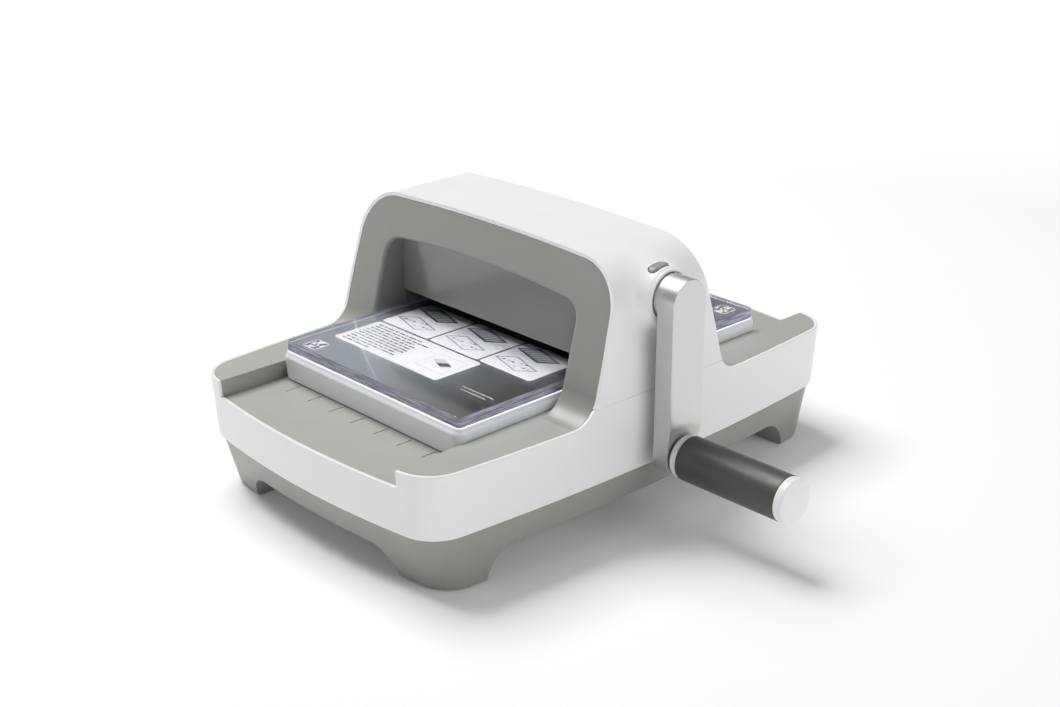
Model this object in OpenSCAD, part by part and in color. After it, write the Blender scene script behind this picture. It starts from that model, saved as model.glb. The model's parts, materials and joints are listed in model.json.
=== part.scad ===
// Hand-cranked roller die cutting machine for paper craft.
// X runs across the machine with the crank on +X, Y along the feed, Z up from the surface it stands on.
// Every sub-part is drawn about the middle of the body, then moved so that the origin is the middle
// of the whole machine's footprint, crank included.

/* [Lower shell] */
// Half width of the white lower shell at the middle of its sides
belt_half_w = 112.8; // [112.4:0.1:113.2]
// Half length of the white lower shell at the middle of its ends
belt_half_l = 174; // [171:0.5:176]
// Radius of the plan corners
corner_r = 24; // [20:1:28]
// Radius of the slight bow of each end
end_bow_r = 592; // [560:8:640]
// Radius of the slight bow of each side
side_bow_r = 1500; // [1400:50:1700]
// Height of the shell's rim
rim_z = 73.6; // [73.5:0.1:74]
// Height of the shell's lower edge
belt_z = 35; // [34:0.5:36]
// Thickness of the moulded walls
wall = 2.4; // [2.2:0.1:2.6]

/* [Base and feet] */
// Height of the front and rear arches between the feet
end_arch_z = 18; // [14:0.5:18.5]
// Half width of the front and rear arches at the ground
end_arch_half = 66; // [60:1:68]
// Height of the side arches between the feet
side_arch_z = 19.5; // [14:0.5:19.5]
// Half length of the side arches at the ground
side_arch_half = 125; // [118:1:126]
// Height of the base's inner floor
base_floor_z = 22; // [21.8:0.1:22.4]

/* [Channel and platform] */
// Half width of the channel that guides the platform
channel_half = 80.5; // [80.4:0.1:81]
// Height of the channel's floor
floor_z = 63.4; // [63.2:0.1:63.4]
// Height of the top of the white platform
platform_top_z = 80.9; // [80:0.1:80.9]
// Half length of the platform
platform_half_l = 124; // [118:1:126]
// Width of the clear pads
pad_w = 155.6; // [150:0.2:156]
// Thickness of one clear pad
pad_t = 3.05; // [2.8:0.05:3.05]

/* [Arch] */
// Height of the top of the arch
arch_top_z = 161; // [160:0.5:163]
// Radius of the arch's shoulders
arch_r = 30; // [28:1:32]
// Backward lean of the arch's faces, in degrees
face_lean = 15.1; // [14:0.1:16]
// Radius where the arch's faces run out into the deck
skirt_r = 18; // [16:0.5:18]
// Height of the seam between the arch cover and the lower shell
seam_z = 82; // [80:0.5:83]
// Half width of the opening that the platform passes through
opening_half = 83; // [82.9:0.1:83]
// Height of the top of the opening
opening_top_z = 136.5; // [136:0.1:137]

/* [Rollers and gears] */
// Radius of the upper roller
upper_r = 14.6; // [14:0.1:14.6]
// Radius of the lower roller
lower_r = 12; // [11.5:0.1:12]
// Height of the upper roller's axis
upper_z = 102.4; // [102.4:0.1:102.6]
// Height of the lower roller's axis
lower_z = 51.4; // [51.2:0.1:51.4]
// Teeth of the gear on the upper roller that turns the lower one
upper_teeth = 28; // [28:1:28]
// Teeth of the gear on the lower roller
lower_teeth = 23; // [23:1:23]
// Teeth of the large gear that the crank turns
drive_teeth = 35; // [35:1:35]
// Teeth of the crank's pinion
pinion_teeth = 14; // [14:1:14]

/* [Crank] */
// Height of the crank's axis
crank_z = 136; // [135.8:0.1:136.2]
// Height of the grip's axis with the crank hanging down
grip_z = 44; // [42:0.5:48]
// Half width of the crank arm, which is also the radius of its ends
arm_r = 13.3; // [13:0.1:13.6]
// Radius of the grip
grip_r = 13.2; // [12.5:0.1:13.4]
// How far the release button travels
button_travel = 2.5; // [1.5:0.1:2.5]

/* [Hidden] */
$fn = 96;

// Where things stand across the machine, measured from the middle of the body
roller_half = 79.5;
liner_x = [83, 85];
plate_x = [86, 89];
flange_t = 1.5;
gear_x = [91, 99];
bracket_x = [100.5, 103];
latch_x = [104.5, 106];
boss_face_x = 116;
boss_r = 16.5;
hub_x = 114.6;
arm_x = [119, 131];
collar_x = 129.7;
sleeve_x = [135, 204.6];
cap_end_x = 210.8;
body_mid_x = (cap_end_x - belt_half_w) / 2;

// Radii and small sizes that several parts share
journal_r = 6;
running = 0.05;
bush_r = 9;
crank_bush_r = 10;
stub_r = 6;
socket_r = 7;
groove_r = 4.5;
tie_r = 4;
screw_r = 2.1;
gap = 0.4;
deck_z = rim_z - 0.2;
cover_y = [24.6, 27];
cover_low_z = 94.7;
sole_z = floor_z + gap;
card_t = 0.4;
card_z = platform_top_z + card_t;
pad_half_l = platform_half_l - 2.2;
foot_z = 0.6;
shell_taper = [0.988, 0.93];
upper_tie = [16, 126];
lower_tie = [24, 36];
bracket_post = [22, 136];
deck_post = [60, 95];
plate_screw = [78, 30];
button_half_l = 8.3;
button_x = [104.1, 110];

// Points along an arc, from angle a0 to a1
function arc(x, y, r, a0, a1, n) =
  [for (i = [0:n]) let (a = a0 + (a1 - a0) * i / n) [x + r * cos(a), y + r * sin(a)]];

// The points of a list in reverse, with the sign of x turned
function mirror_x(p) = [for (i = [len(p) - 1:-1:0]) [-p[i][0], p[i][1]]];

// A closed outline from its quarter, which runs from the x axis round to the y axis
function four_fold(q) = concat(
  q,
  [for (i = [len(q) - 2:-1:0]) [-q[i][0], q[i][1]]],
  [for (i = [1:len(q) - 1]) [-q[i][0], -q[i][1]]],
  [for (i = [len(q) - 2:-1:1]) [q[i][0], -q[i][1]]]
);

// Centre of the plan corner's arc, which touches both bows
corner_ra = side_bow_r - corner_r;
corner_rb = end_bow_r - corner_r;
side_centre = belt_half_w - side_bow_r;
end_centre = belt_half_l - end_bow_r;
centre_gap = norm([side_centre, end_centre]);
corner_a = (corner_ra * corner_ra - corner_rb * corner_rb + centre_gap * centre_gap) / (2 * centre_gap);
corner_h = sqrt(corner_ra * corner_ra - corner_a * corner_a);
corner_x = side_centre - (corner_a * side_centre + corner_h * end_centre) / centre_gap;
corner_y = (corner_a * end_centre - corner_h * side_centre) / centre_gap;
side_turn = atan2(corner_y, corner_x - side_centre);
end_turn = atan2(corner_y - end_centre, corner_x);

// Plan outline of the lower shell, moved in by t
function plan_quarter(t) = concat(
  arc(side_centre, 0, side_bow_r - t, 0, side_turn, 4),
  [for (p = arc(corner_x, corner_y, corner_r - t, side_turn, end_turn, 10)) if (p[1] > 0) p],
  [for (i = [1:5]) arc(0, end_centre, end_bow_r - t, end_turn, 90, 5)[i]]
);
module plan(t) {
  polygon(four_fold(plan_quarter(t)));
}

// Outline of a portal with leaning sides, round shoulders and a crowned top, moved in by t
function portal_half(half_w, top_z, r, crown_r, lean, t, low_z) =
  let (
    cx = half_w - r,
    cz = top_z - crown_r + sqrt(pow(crown_r - r, 2) - cx * cx),
    turn = atan2(cz - top_z + crown_r, cx)
  )
  concat(
    [[cx + (r - t - (low_z - cz) * sin(lean)) / cos(lean), low_z]],
    arc(cx, cz, r - t, lean, turn, 12),
    [for (i = [1:4]) arc(0, top_z - crown_r, crown_r - t, turn, 90, 4)[i]]
  );
module portal(half, t, low_z) {
  right = half == "arch"
    ? portal_half(110, arch_top_z, arch_r, 1600, 3.5, t, low_z)
    : portal_half(opening_half, opening_top_z, 12, 800, 0, t, low_z);
  polygon(concat(right, [for (i = [1:len(right) - 1]) mirror_x(right)[i]]));
}

// Side contour of the arch's front: a leaning face that sweeps out into the deck, moved in by t
skirt_z = deck_z + skirt_r;
face_y = 50.5 - tan(face_lean) * (skirt_z - 87.7);
skirt_y = face_y + skirt_r / cos(face_lean);
function face_contour(t) =
  let (low = arc(skirt_y, skirt_z, skirt_r + t, 270, 180 + face_lean, 8))
  concat(low, [[low[8][0] - (arch_top_z + 4 - low[8][1]) * tan(face_lean), arch_top_z + 4]]);
module arch_side(t) {
  half = face_contour(t);
  polygon(concat(half, mirror_x(half)));
}
// The skin of the arch's front face, as seen from the side; y is turned to the front by its caller
module face_skin() {
  polygon(concat(face_contour(0), [for (i = [9:-1:0]) face_contour(wall)[i]]));
}

module along_x(x0, x1) {
  translate([x0, 0, 0])
    rotate([90, 0, 90])
      linear_extrude(x1 - x0)
        children();
}
module along_y(y0, y1) {
  translate([0, y1, 0])
    rotate([90, 0, 0])
      linear_extrude(y1 - y0)
        children();
}
module rod_x(x0, x1, r, y = 0, z = 0) {
  translate([x0, y, z])
    rotate([0, 90, 0])
      cylinder(h = x1 - x0, r = r);
}
module cone_x(x0, x1, r0, r1, y = 0, z = 0) {
  translate([x0, y, z])
    rotate([0, 90, 0])
      cylinder(h = x1 - x0, r1 = r0, r2 = r1);
}
// A box given by its lowest and highest corners
module box(low, high) {
  translate(low)
    cube(high - low);
}
// The same shape at each corner of a rectangle
module at_four(x, y) {
  for (sx = [-1, 1])
    for (sy = [-1, 1])
      translate([sx * x, sy * y, 0])
        children();
}
module rounded(half_x, half_y, r) {
  square([2 * half_x, 2 * (half_y - r)], center = true);
  square([2 * (half_x - r), 2 * half_y], center = true);
  at_four(half_x - r, half_y - r)
    circle(r);
}
module turn_to_left() {
  mirror([1, 0, 0])
    children();
}
module turn_to_front() {
  mirror([0, 1, 0])
    children();
}

// Base: a tub with four hollow feet, tapered towards the ground
function taper_at(z) = [for (s = shell_taper) 1 - (1 - s) * (belt_z - z) / belt_z];
module tapered(inset, low_z, high_z) {
  high = taper_at(high_z);
  low = taper_at(low_z);
  translate([0, 0, high_z])
    mirror([0, 0, 1])
      linear_extrude(high_z - low_z, scale = [low[0] / high[0], low[1] / high[1]], slices = 1, segments = 1)
        scale([high[0], high[1]])
          plan(inset);
}
module foot_arch(half, top_z) {
  polygon(concat(
    [[half, -5]],
    arc(half - top_z, 0, top_z, 0, 90, 8),
    arc(top_z - half, 0, top_z, 90, 180, 8),
    [[-half, -5]]
  ));
}
module arches(extra) {
  along_y(-200, 200)
    foot_arch(end_arch_half + extra, end_arch_z + extra);
  along_x(-200, 200)
    foot_arch(side_arch_half + extra, side_arch_z + extra);
}
foot_at = [84, 134];
module base_shell() {
  color("#a3a4a0")
    difference() {
      tapered(2, foot_z, belt_z);
      difference() {
        tapered(2 + wall, foot_z + 3.4, belt_z + 1);
        arches(base_floor_z - side_arch_z);
      }
      arches(0);
      at_four(foot_at[0], foot_at[1])
        translate([0, 0, foot_z - 1])
          linear_extrude(2.4)
            rounded(8.2, 11.2, 4.2);
      at_four(deck_post[0], deck_post[1])
        cylinder(h = base_floor_z + 1, r = 1.75);
      at_four(plate_screw[0], plate_screw[1])
        cylinder(h = base_floor_z + 1, r = screw_r);
    }
}
module foot_pads() {
  color("#3a3b3a")
    at_four(foot_at[0], foot_at[1])
      linear_extrude(foot_z + 1.4)
        rounded(8, 11, 4);
}

// White belt round the deck, low across the channel and raised into the arch's shoulders
module side_belt() {
  color("#e4e6e6")
    difference() {
      intersection() {
        translate([0, 0, belt_z])
          linear_extrude(seam_z - belt_z)
            plan(0);
        union() {
          box([-150, -200, belt_z - 1], [150, 200, rim_z]);
          along_x(-150, 150)
            arch_side(0);
        }
      }
      translate([0, 0, belt_z + wall])
        linear_extrude(60)
          plan(wall);
      translate([0, 0, belt_z - 1])
        linear_extrude(10)
          plan(8);
      box([-channel_half, -200, floor_z], [channel_half, 200, 100]);
    }
}

// Grey deck: two ledges, the channel between them, and the skirts that rise to the arch's faces
module deck_tray() {
  skin_z = deck_z - wall;
  color("#a9aaa5")
    difference() {
      union() {
        intersection() {
          translate([0, 0, floor_z - wall - 40])
            linear_extrude(80)
              plan(wall);
          union() {
            difference() {
              box([-120, -200, skin_z], [120, 200, deck_z]);
              box([-channel_half, -201, skin_z - 1], [channel_half, 201, deck_z + 1]);
              for (s = [-1, 1])
                box([s * 98.5 - 15.5, -50, skin_z - 1], [s * 98.5 + 15.5, 50, deck_z + 1]);
            }
            box([-channel_half - wall, -200, floor_z - wall], [channel_half + wall, 200, floor_z - 0.1]);
            for (s = [-1, 1])
              box([s * (channel_half + wall / 2) - wall / 2, -200, floor_z - wall],
                  [s * (channel_half + wall / 2) + wall / 2, 200, deck_z]);
            for (side = [0, 1])
              mirror([side, 0, 0])
                difference() {
                  along_x(opening_half, 120) {
                    face_skin();
                    mirror([1, 0])
                      face_skin();
                  }
                  box([0, -200, seam_z], [200, 200, 200]);
                }
          }
        }
        at_four(deck_post[0], deck_post[1])
          translate([0, 0, base_floor_z])
            cylinder(h = floor_z - 1 - base_floor_z, r = 5);
      }
      at_four(deck_post[0], deck_post[1])
        translate([0, 0, base_floor_z - 1])
          cylinder(h = 20, r = 1.75);
      box([-channel_half, -11, 40], [channel_half, 11, 70]);
      for (s = [-1, 1])
        for (k = [-3:3])
          box([k * 20.5 - 0.5, s * 130.5 - 6.5, floor_z - 0.5], [k * 20.5 + 0.5, s * 130.5 + 6.5, 70]);
    }
}

// Grey faces of the arch, each with a collar that runs in to the roller cover
module bezel() {
  difference() {
    union() {
      intersection() {
        along_x(-120, 120)
          mirror([1, 0])
            face_skin();
        along_y(-100, 0)
          portal("arch", wall, seam_z);
        translate([0, 0, seam_z])
          linear_extrude(100)
            plan(wall);
      }
      intersection() {
        along_x(-100, 100)
          arch_side(1);
        along_y(-100, -24)
          portal("opening", -2, seam_z);
      }
    }
    along_y(-100, 0)
      portal("opening", 0, seam_z - 1);
  }
}
module front_bezel() {
  color("#a3a49f")
    bezel();
}
module rear_bezel() {
  color("#a3a49f")
    turn_to_front()
      bezel();
}

// White cover of the arch, with the crank's boss
module arch_cover() {
  color("#eceeef")
    difference() {
      union() {
        intersection() {
          along_x(-150, 150)
            arch_side(0);
          along_y(-100, 100)
            portal("arch", 0, seam_z);
          translate([0, 0, seam_z])
            linear_extrude(100)
              plan(0);
        }
        rod_x(95, boss_face_x, boss_r, 0, crank_z);
      }
      intersection() {
        along_y(-100, 100)
          portal("arch", wall, seam_z - 1);
        translate([0, 0, seam_z - 1])
          linear_extrude(100)
            plan(wall);
      }
      rod_x(90, boss_face_x - 2 * wall, boss_r - wall, 0, crank_z);
      rod_x(90, boss_face_x + 1, stub_r + 1, 0, crank_z);
      rod_x(boss_face_x - wall, boss_face_x + 1, arm_r + 1, 0, crank_z);
      box([button_x[0] - gap, -button_half_l - gap, crank_z + 8],
          [button_x[1] + gap, button_half_l + gap, 170]);
    }
}

// Covers that hide the upper roller
module roller_cover() {
  along_y(-cover_y[1], -cover_y[0])
    intersection() {
      portal("opening", 0.2, cover_low_z);
      translate([-opening_half, cover_low_z])
        square([2 * opening_half, 60]);
    }
  for (x = [-60, 0, 60])
    box([x - 1.2, -cover_y[0], cover_low_z + 24], [x + 1.2, -20.6, cover_low_z + 36]);
}
module front_roller_cover() {
  color("#8a8b86")
    roller_cover();
}
module rear_roller_cover() {
  color("#8a8b86")
    turn_to_front()
      roller_cover();
}

// Side liners of the tunnel
module liner() {
  difference() {
    along_x(liner_x[0], liner_x[1])
      union() {
        intersection() {
          arch_side(wall);
          translate([-60, deck_z])
            square([120, seam_z - deck_z]);
        }
        translate([-24, seam_z])
          square([48, 51]);
      }
    rod_x(80, 90, journal_r + 1.5, 0, upper_z);
    rod_x(80, 90, crank_bush_r + 0.5, 0, crank_z);
    for (s = [-1, 1])
      rod_x(80, 90, tie_r + 0.3, s * upper_tie[0], upper_tie[1]);
  }
}
module right_liner() {
  color("#8d8e89")
    liner();
}
module left_liner() {
  color("#8d8e89")
    turn_to_left()
      liner();
}

// Steel side plates with their feet
module frame_plate() {
  along_x(plate_x[0], plate_x[1])
    polygon([
      [-40, base_floor_z], [40, base_floor_z], [40, 72], [37, 80],
      [27, 148], [-27, 148], [-37, 80], [-40, 72]
    ]);
  box([72, -38, base_floor_z], [plate_x[0], 38, base_floor_z + 3]);
}
module plate_holes() {
  x0 = plate_x[0] - 1;
  x1 = plate_x[1] + 1;
  rod_x(x0, x1, bush_r, 0, upper_z);
  rod_x(x0, x1, bush_r, 0, lower_z);
  for (p = [upper_tie, lower_tie])
    for (s = [-1, 1])
      cone_x(plate_x[0], plate_x[1], screw_r, screw_r + 3, s * p[0], p[1]);
  for (s = [-1, 1])
    translate([plate_screw[0], s * plate_screw[1], 0])
      cylinder(h = 40, r = screw_r);
}
module left_frame_plate() {
  color("#b4b8bb")
    turn_to_left()
      difference() {
        frame_plate();
        plate_holes();
      }
}
module right_frame_plate() {
  color("#b4b8bb")
    difference() {
      frame_plate();
      plate_holes();
      rod_x(80, 95, crank_bush_r, 0, crank_z);
      for (s = [-1, 1])
        rod_x(80, 95, 1.6, s * bracket_post[0], bracket_post[1]);
    }
}

// Round bars that hold the side plates apart
module tie_bars() {
  color("#a8acaf")
    for (p = [upper_tie, lower_tie])
      for (s = [-1, 1])
        difference() {
          rod_x(-plate_x[0], plate_x[0], tie_r, s * p[0], p[1]);
          for (m = [0, 1])
            mirror([m, 0, 0])
              rod_x(plate_x[0] - 14, plate_x[0] + 1, screw_r, s * p[0], p[1]);
        }
}
module frame_screws() {
  color("#6f7376")
    for (m = [0, 1])
      mirror([m, 0, 0])
        for (p = [upper_tie, lower_tie])
          for (s = [-1, 1])
            difference() {
              union() {
                rod_x(plate_x[0] - 12, plate_x[0], screw_r, s * p[0], p[1]);
                cone_x(plate_x[0], plate_x[1], screw_r, screw_r + 3, s * p[0], p[1]);
              }
              translate([plate_x[1] - 1.8, s * p[0], p[1]])
                rotate([0, 90, 0])
                  cylinder(h = 3, r = 1.5, $fn = 6);
            }
}
module pan_screw(r, head_r, head_h, length, under_z) {
  difference() {
    union() {
      translate([0, 0, under_z])
        cylinder(h = length, r = r);
      translate([0, 0, under_z - head_h])
        cylinder(h = head_h, r = head_r);
    }
    translate([0, 0, under_z - head_h - 1])
      cylinder(h = 2.4, r = 1.4, $fn = 6);
  }
}
module base_screws() {
  color("#6f7376")
    at_four(plate_screw[0], plate_screw[1])
      pan_screw(screw_r, 4, 2.4, base_floor_z + 2.6 - side_arch_z, side_arch_z);
}
module deck_screws() {
  color("#6f7376")
    at_four(deck_post[0], deck_post[1])
      pan_screw(1.75, 3.6, 2.2, 16, side_arch_z);
}

// Flanged bushes of the rollers and the crank
module bush(z, outer_r, bore_r, flange_r, x0, x1) {
  difference() {
    union() {
      rod_x(x0, x1, outer_r, 0, z);
      rod_x(x1, x1 + flange_t, flange_r, 0, z);
    }
    rod_x(x0 - 1, x1 + flange_t + 1, bore_r, 0, z);
  }
}
module roller_bush(z) {
  bush(z, bush_r, journal_r + running, bush_r + 2.5, plate_x[0], plate_x[1]);
}
module upper_right_bush() {
  color("#b08d57")
    roller_bush(upper_z);
}
module lower_right_bush() {
  color("#b08d57")
    roller_bush(lower_z);
}
module upper_left_bush() {
  color("#b08d57")
    turn_to_left()
      roller_bush(upper_z);
}
module lower_left_bush() {
  color("#b08d57")
    turn_to_left()
      roller_bush(lower_z);
}
module crank_inner_bush() {
  color("#b08d57")
    bush(crank_z, crank_bush_r, socket_r + running, crank_bush_r + 2, plate_x[0], plate_x[1]);
}
module crank_outer_bush() {
  color("#b08d57")
    difference() {
      rod_x(bracket_x[0] - 0.6, bracket_x[1], bush_r, 0, crank_z);
      rod_x(90, 110, socket_r + running, 0, crank_z);
    }
}
module gear_bracket() {
  color("#b4b8bb")
    difference() {
      along_x(bracket_x[0], bracket_x[1])
        polygon([
          [-27, 130], [-16, 123], [16, 123], [27, 130], [27, 142], [14, 142],
          [9.5, 144.5], [6, 148], [-6, 148], [-9.5, 144.5], [-14, 142], [-27, 142]
        ]);
      rod_x(90, 110, bush_r, 0, crank_z);
      for (s = [-1, 1])
        rod_x(90, 110, 1.6, s * bracket_post[0], bracket_post[1]);
    }
}
module bracket_posts() {
  color("#a8acaf")
    for (s = [-1, 1]) {
      rod_x(plate_x[1], bracket_x[0], 3.5, s * bracket_post[0], bracket_post[1]);
      rod_x(plate_x[0], plate_x[1], 1.6, s * bracket_post[0], bracket_post[1]);
      rod_x(bracket_x[0], bracket_x[1], 1.6, s * bracket_post[0], bracket_post[1]);
    }
}

// Guide ring under the release button, with a ledge for each spring
module button_guide() {
  color("#dcdedd")
    difference() {
      rod_x(106.8, 109.8, boss_r - wall, 0, crank_z);
      difference() {
        rod_x(100, 120, boss_r - wall - 1.2, 0, crank_z);
        for (s = [-1, 1])
          box([106.8, s * 9.1 - 3.9, crank_z + 3.8], [109.8, s * 9.1 + 3.9, crank_z + 5]);
      }
      box([100, -button_half_l - 0.6, crank_z + 5], [120, button_half_l + 0.6, 170]);
    }
}

// Involute gear teeth: half the angle that a tooth fills at radius r, in degrees
pressure = 20;
function inv_deg(a) = tan(a) * 180 / PI - a;
function tooth_half(m, n, r, slack) =
  let (rp = m * n / 2, rb = rp * cos(pressure))
  (PI * m / 2 - slack) / (2 * rp) * 180 / PI + inv_deg(pressure) - inv_deg(acos(min(1, rb / r)));
function tooth_points(m, n, at, addendum, slack) =
  let (
    rp = m * n / 2,
    root = rp - 1.2 * m,
    start = max(root + 0.1, rp * cos(pressure)),
    tip = rp + addendum * m,
    flank = [for (i = [0:4]) start + (tip - start) * i / 4],
    rise = [for (r = flank) [r, at - tooth_half(m, n, r, slack)]],
    fall = [for (i = [4:-1:0]) [flank[i], at + tooth_half(m, n, flank[i], slack)]]
  )
  [
    for (p = concat([[root, rise[0][1]]], rise, fall, [[root, fall[4][1]]]))
      [p[0] * cos(p[1]), p[0] * sin(p[1])]
  ];
module gear_shape(m, n, first, addendum = 0.85, slack = 0.3) {
  polygon([for (i = [0:n - 1]) each tooth_points(m, n, first + i * 360 / n, addendum, slack)]);
}
sync_module = 2 * (upper_z - lower_z) / (upper_teeth + lower_teeth);
drive_module = 2 * (crank_z - upper_z) / (drive_teeth + pinion_teeth);
module gear_wheel(m, n, first, z, bore_r) {
  web_r = m * n / 2 - 2.5 * m;
  translate([0, 0, z])
    difference() {
      along_x(gear_x[0], gear_x[1])
        gear_shape(m, n, first);
      rod_x(gear_x[0] - 1, gear_x[1] + 1, bore_r);
      for (x = [gear_x[0] - 1, gear_x[1] - 2])
        difference() {
          rod_x(x, x + 3, web_r);
          rod_x(x - 1, x + 4, bore_r + 5);
        }
    }
}

// Upper roller and its gears
module roller(r, z, left_end, right_end) {
  difference() {
    union() {
      rod_x(-roller_half, roller_half, r, 0, z);
      rod_x(-roller_half - 3, roller_half + 3, journal_r + 1.4, 0, z);
      rod_x(left_end, right_end, journal_r, 0, z);
    }
    for (x = [left_end + 1, right_end - 1.8])
      difference() {
        rod_x(x, x + 0.8, journal_r + 1, 0, z);
        rod_x(x - 1, x + 2, journal_r - 1, 0, z);
      }
  }
}
module clip_ring(x, z) {
  difference() {
    rod_x(x, x + 0.8, journal_r + 2.6, 0, z);
    rod_x(x - 1, x + 2, journal_r - 1, 0, z);
    box([x - 1, -2.6, z - 12], [x + 2, 2.6, z]);
  }
}
module upper_roller() {
  color("#c3c6c8")
    roller(upper_r, upper_z, -100.8, 100.8);
}
module upper_roller_clips() {
  color("#55585a") {
    clip_ring(-99.8, upper_z);
    clip_ring(99, upper_z);
  }
}
module upper_sync_gear() {
  color("#e9e6da")
    turn_to_left()
      gear_wheel(sync_module, upper_teeth, -90, upper_z, journal_r);
}
module drive_gear() {
  color("#e9e6da")
    gear_wheel(drive_module, drive_teeth, 90, upper_z, journal_r);
}

// Lower roller and its gear
module lower_roller() {
  color("#c3c6c8")
    roller(lower_r, lower_z, -100.8, 93);
}
module lower_roller_clips() {
  color("#55585a") {
    clip_ring(-99.8, lower_z);
    clip_ring(91.2, lower_z);
  }
}
module lower_sync_gear() {
  color("#e9e6da")
    turn_to_left()
      gear_wheel(sync_module, lower_teeth, 90 + 180 / lower_teeth, lower_z, journal_r);
}

// Pinion and the hollow shaft that the crank plugs into
module hex_x(x0, x1, r, z) {
  translate([x0, 0, z])
    rotate([0, 90, 0])
      cylinder(h = x1 - x0, r = r, $fn = 6);
}
module pinion_shaft() {
  color("#9da1a4")
    difference() {
      union() {
        rod_x(84.2, bracket_x[1] + 0.2, socket_r, 0, crank_z);
        translate([0, 0, crank_z])
          along_x(gear_x[0], gear_x[1])
            gear_shape(drive_module, pinion_teeth, -90 + 180 / pinion_teeth);
      }
      hex_x(85.5, 110, 5, crank_z);
      difference() {
        rod_x(84.8, 85.6, socket_r + 1, 0, crank_z);
        rod_x(84, 87, socket_r - 1, 0, crank_z);
      }
    }
}
module pinion_clip() {
  color("#55585a")
    difference() {
      rod_x(84.8, 85.6, socket_r + 2.4, 0, crank_z);
      rod_x(84, 87, socket_r - 1, 0, crank_z);
      box([84, -3, crank_z - 12], [87, 3, crank_z]);
    }
}

// Crank: a stub that plugs in, the flat arm and the fixed spindle of the grip
module crank_stub() {
  color("#9da1a4")
    difference() {
      union() {
        hex_x(86.5, 103.4, 4.95, crank_z);
        rod_x(103.4, arm_x[0] + 8, stub_r, 0, crank_z);
      }
      difference() {
        rod_x(latch_x[0] - 0.7, latch_x[1] + 0.7, stub_r + 1, 0, crank_z);
        rod_x(90, 120, groove_r, 0, crank_z);
      }
    }
}
module arm_outline() {
  translate([0, crank_z])
    circle(arm_r);
  translate([0, grip_z])
    circle(arm_r);
  translate([-arm_r, grip_z])
    square([2 * arm_r, crank_z - grip_z]);
}
module crank_arm() {
  dish_r = 68;
  dish_depth = 3;
  color("#cccecd")
    difference() {
      union() {
        along_x(arm_x[0], arm_x[1])
          arm_outline();
        rod_x(hub_x, arm_x[0], arm_r, 0, crank_z);
      }
      translate([arm_x[1] - dish_depth + dish_r, 0, grip_z])
        rotate([0, 90, 0])
          sphere(dish_r, $fn = 192);
      rod_x(hub_x - 1, arm_x[0] + 8, stub_r, 0, crank_z);
      rod_x(arm_x[0] - 1, arm_x[1], 5, 0, grip_z);
    }
}
spindle_end = sleeve_x[1] - 3;
module grip_spindle() {
  color("#9da1a4")
    difference() {
      union() {
        rod_x(arm_x[0], spindle_end, 5, 0, grip_z);
        rod_x(spindle_end - 4, spindle_end, 8, 0, grip_z);
      }
      hex_x(spindle_end - 2.5, spindle_end + 1, 3, grip_z);
    }
}

// Grip that turns on the spindle
module grip_core() {
  color("#c9cbca")
    difference() {
      rod_x(sleeve_x[0], sleeve_x[1], grip_r - 2.4, 0, grip_z);
      rod_x(sleeve_x[0] - 1, sleeve_x[1] + 1, 5 + running, 0, grip_z);
      rod_x(spindle_end - 4.4, sleeve_x[1] + 1, 8.6, 0, grip_z);
    }
}
module grip_sleeve() {
  color("#494a45")
    difference() {
      rod_x(sleeve_x[0], sleeve_x[1], grip_r, 0, grip_z);
      rod_x(sleeve_x[0] - 1, sleeve_x[1] + 1, grip_r - 2.4, 0, grip_z);
    }
}
module grip_collar() {
  color("#e6e8e8")
    difference() {
      union() {
        rod_x(collar_x + 1, sleeve_x[0], grip_r - 0.4, 0, grip_z);
        cone_x(collar_x, collar_x + 1, grip_r - 1.2, grip_r - 0.4, 0, grip_z);
      }
      rod_x(collar_x - 1, sleeve_x[0] + 1, 5 + running, 0, grip_z);
    }
}
module grip_end_cap() {
  dome_r = 60;
  color("#e6e8e8")
    difference() {
      intersection() {
        rod_x(sleeve_x[1], cap_end_x, grip_r - 0.2, 0, grip_z);
        translate([cap_end_x - dome_r, 0, grip_z])
          rotate([0, 90, 0])
            sphere(dome_r, $fn = 192);
        cone_x(sleeve_x[1] - 40, cap_end_x, grip_r + 44, grip_r - 2.4, 0, grip_z);
      }
      rod_x(sleeve_x[1] - 1, sleeve_x[1] + 2, 8.6, 0, grip_z);
    }
}

// Release button: a curved cap on the boss, the keyhole plate that it pushes, and its springs
button_in_r = 14.5;
button_out_r = 17.4;
module button_tab() {
  box([latch_x[0], -3.5, crank_z + 9], [latch_x[1], 3.5, crank_z + 13.6]);
}
module release_button() {
  color("#a8a7a1")
    difference() {
      union() {
        intersection() {
          along_x(button_x[0], button_x[1])
            translate([0, crank_z])
              difference() {
                circle(button_out_r);
                circle(button_in_r);
              }
          translate([(button_x[0] + button_x[1]) / 2, 0, crank_z])
            linear_extrude(40)
              rounded((button_x[1] - button_x[0]) / 2, button_half_l, 2.9);
        }
        box([latch_x[0], -3.5, crank_z + 11.2], [109.4, 3.5, crank_z + 14.8]);
      }
      button_tab();
    }
}
module latch_plate() {
  color("#9da1a4")
    union() {
      difference() {
        rod_x(latch_x[0], latch_x[1], 10.8, 0, crank_z);
        rod_x(90, 120, groove_r + 0.4, 0, crank_z);
        rod_x(90, 120, stub_r + 0.5, 0, crank_z + button_travel);
      }
      difference() {
        button_tab();
        rod_x(90, 120, 10.7, 0, crank_z);
      }
    }
}
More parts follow.
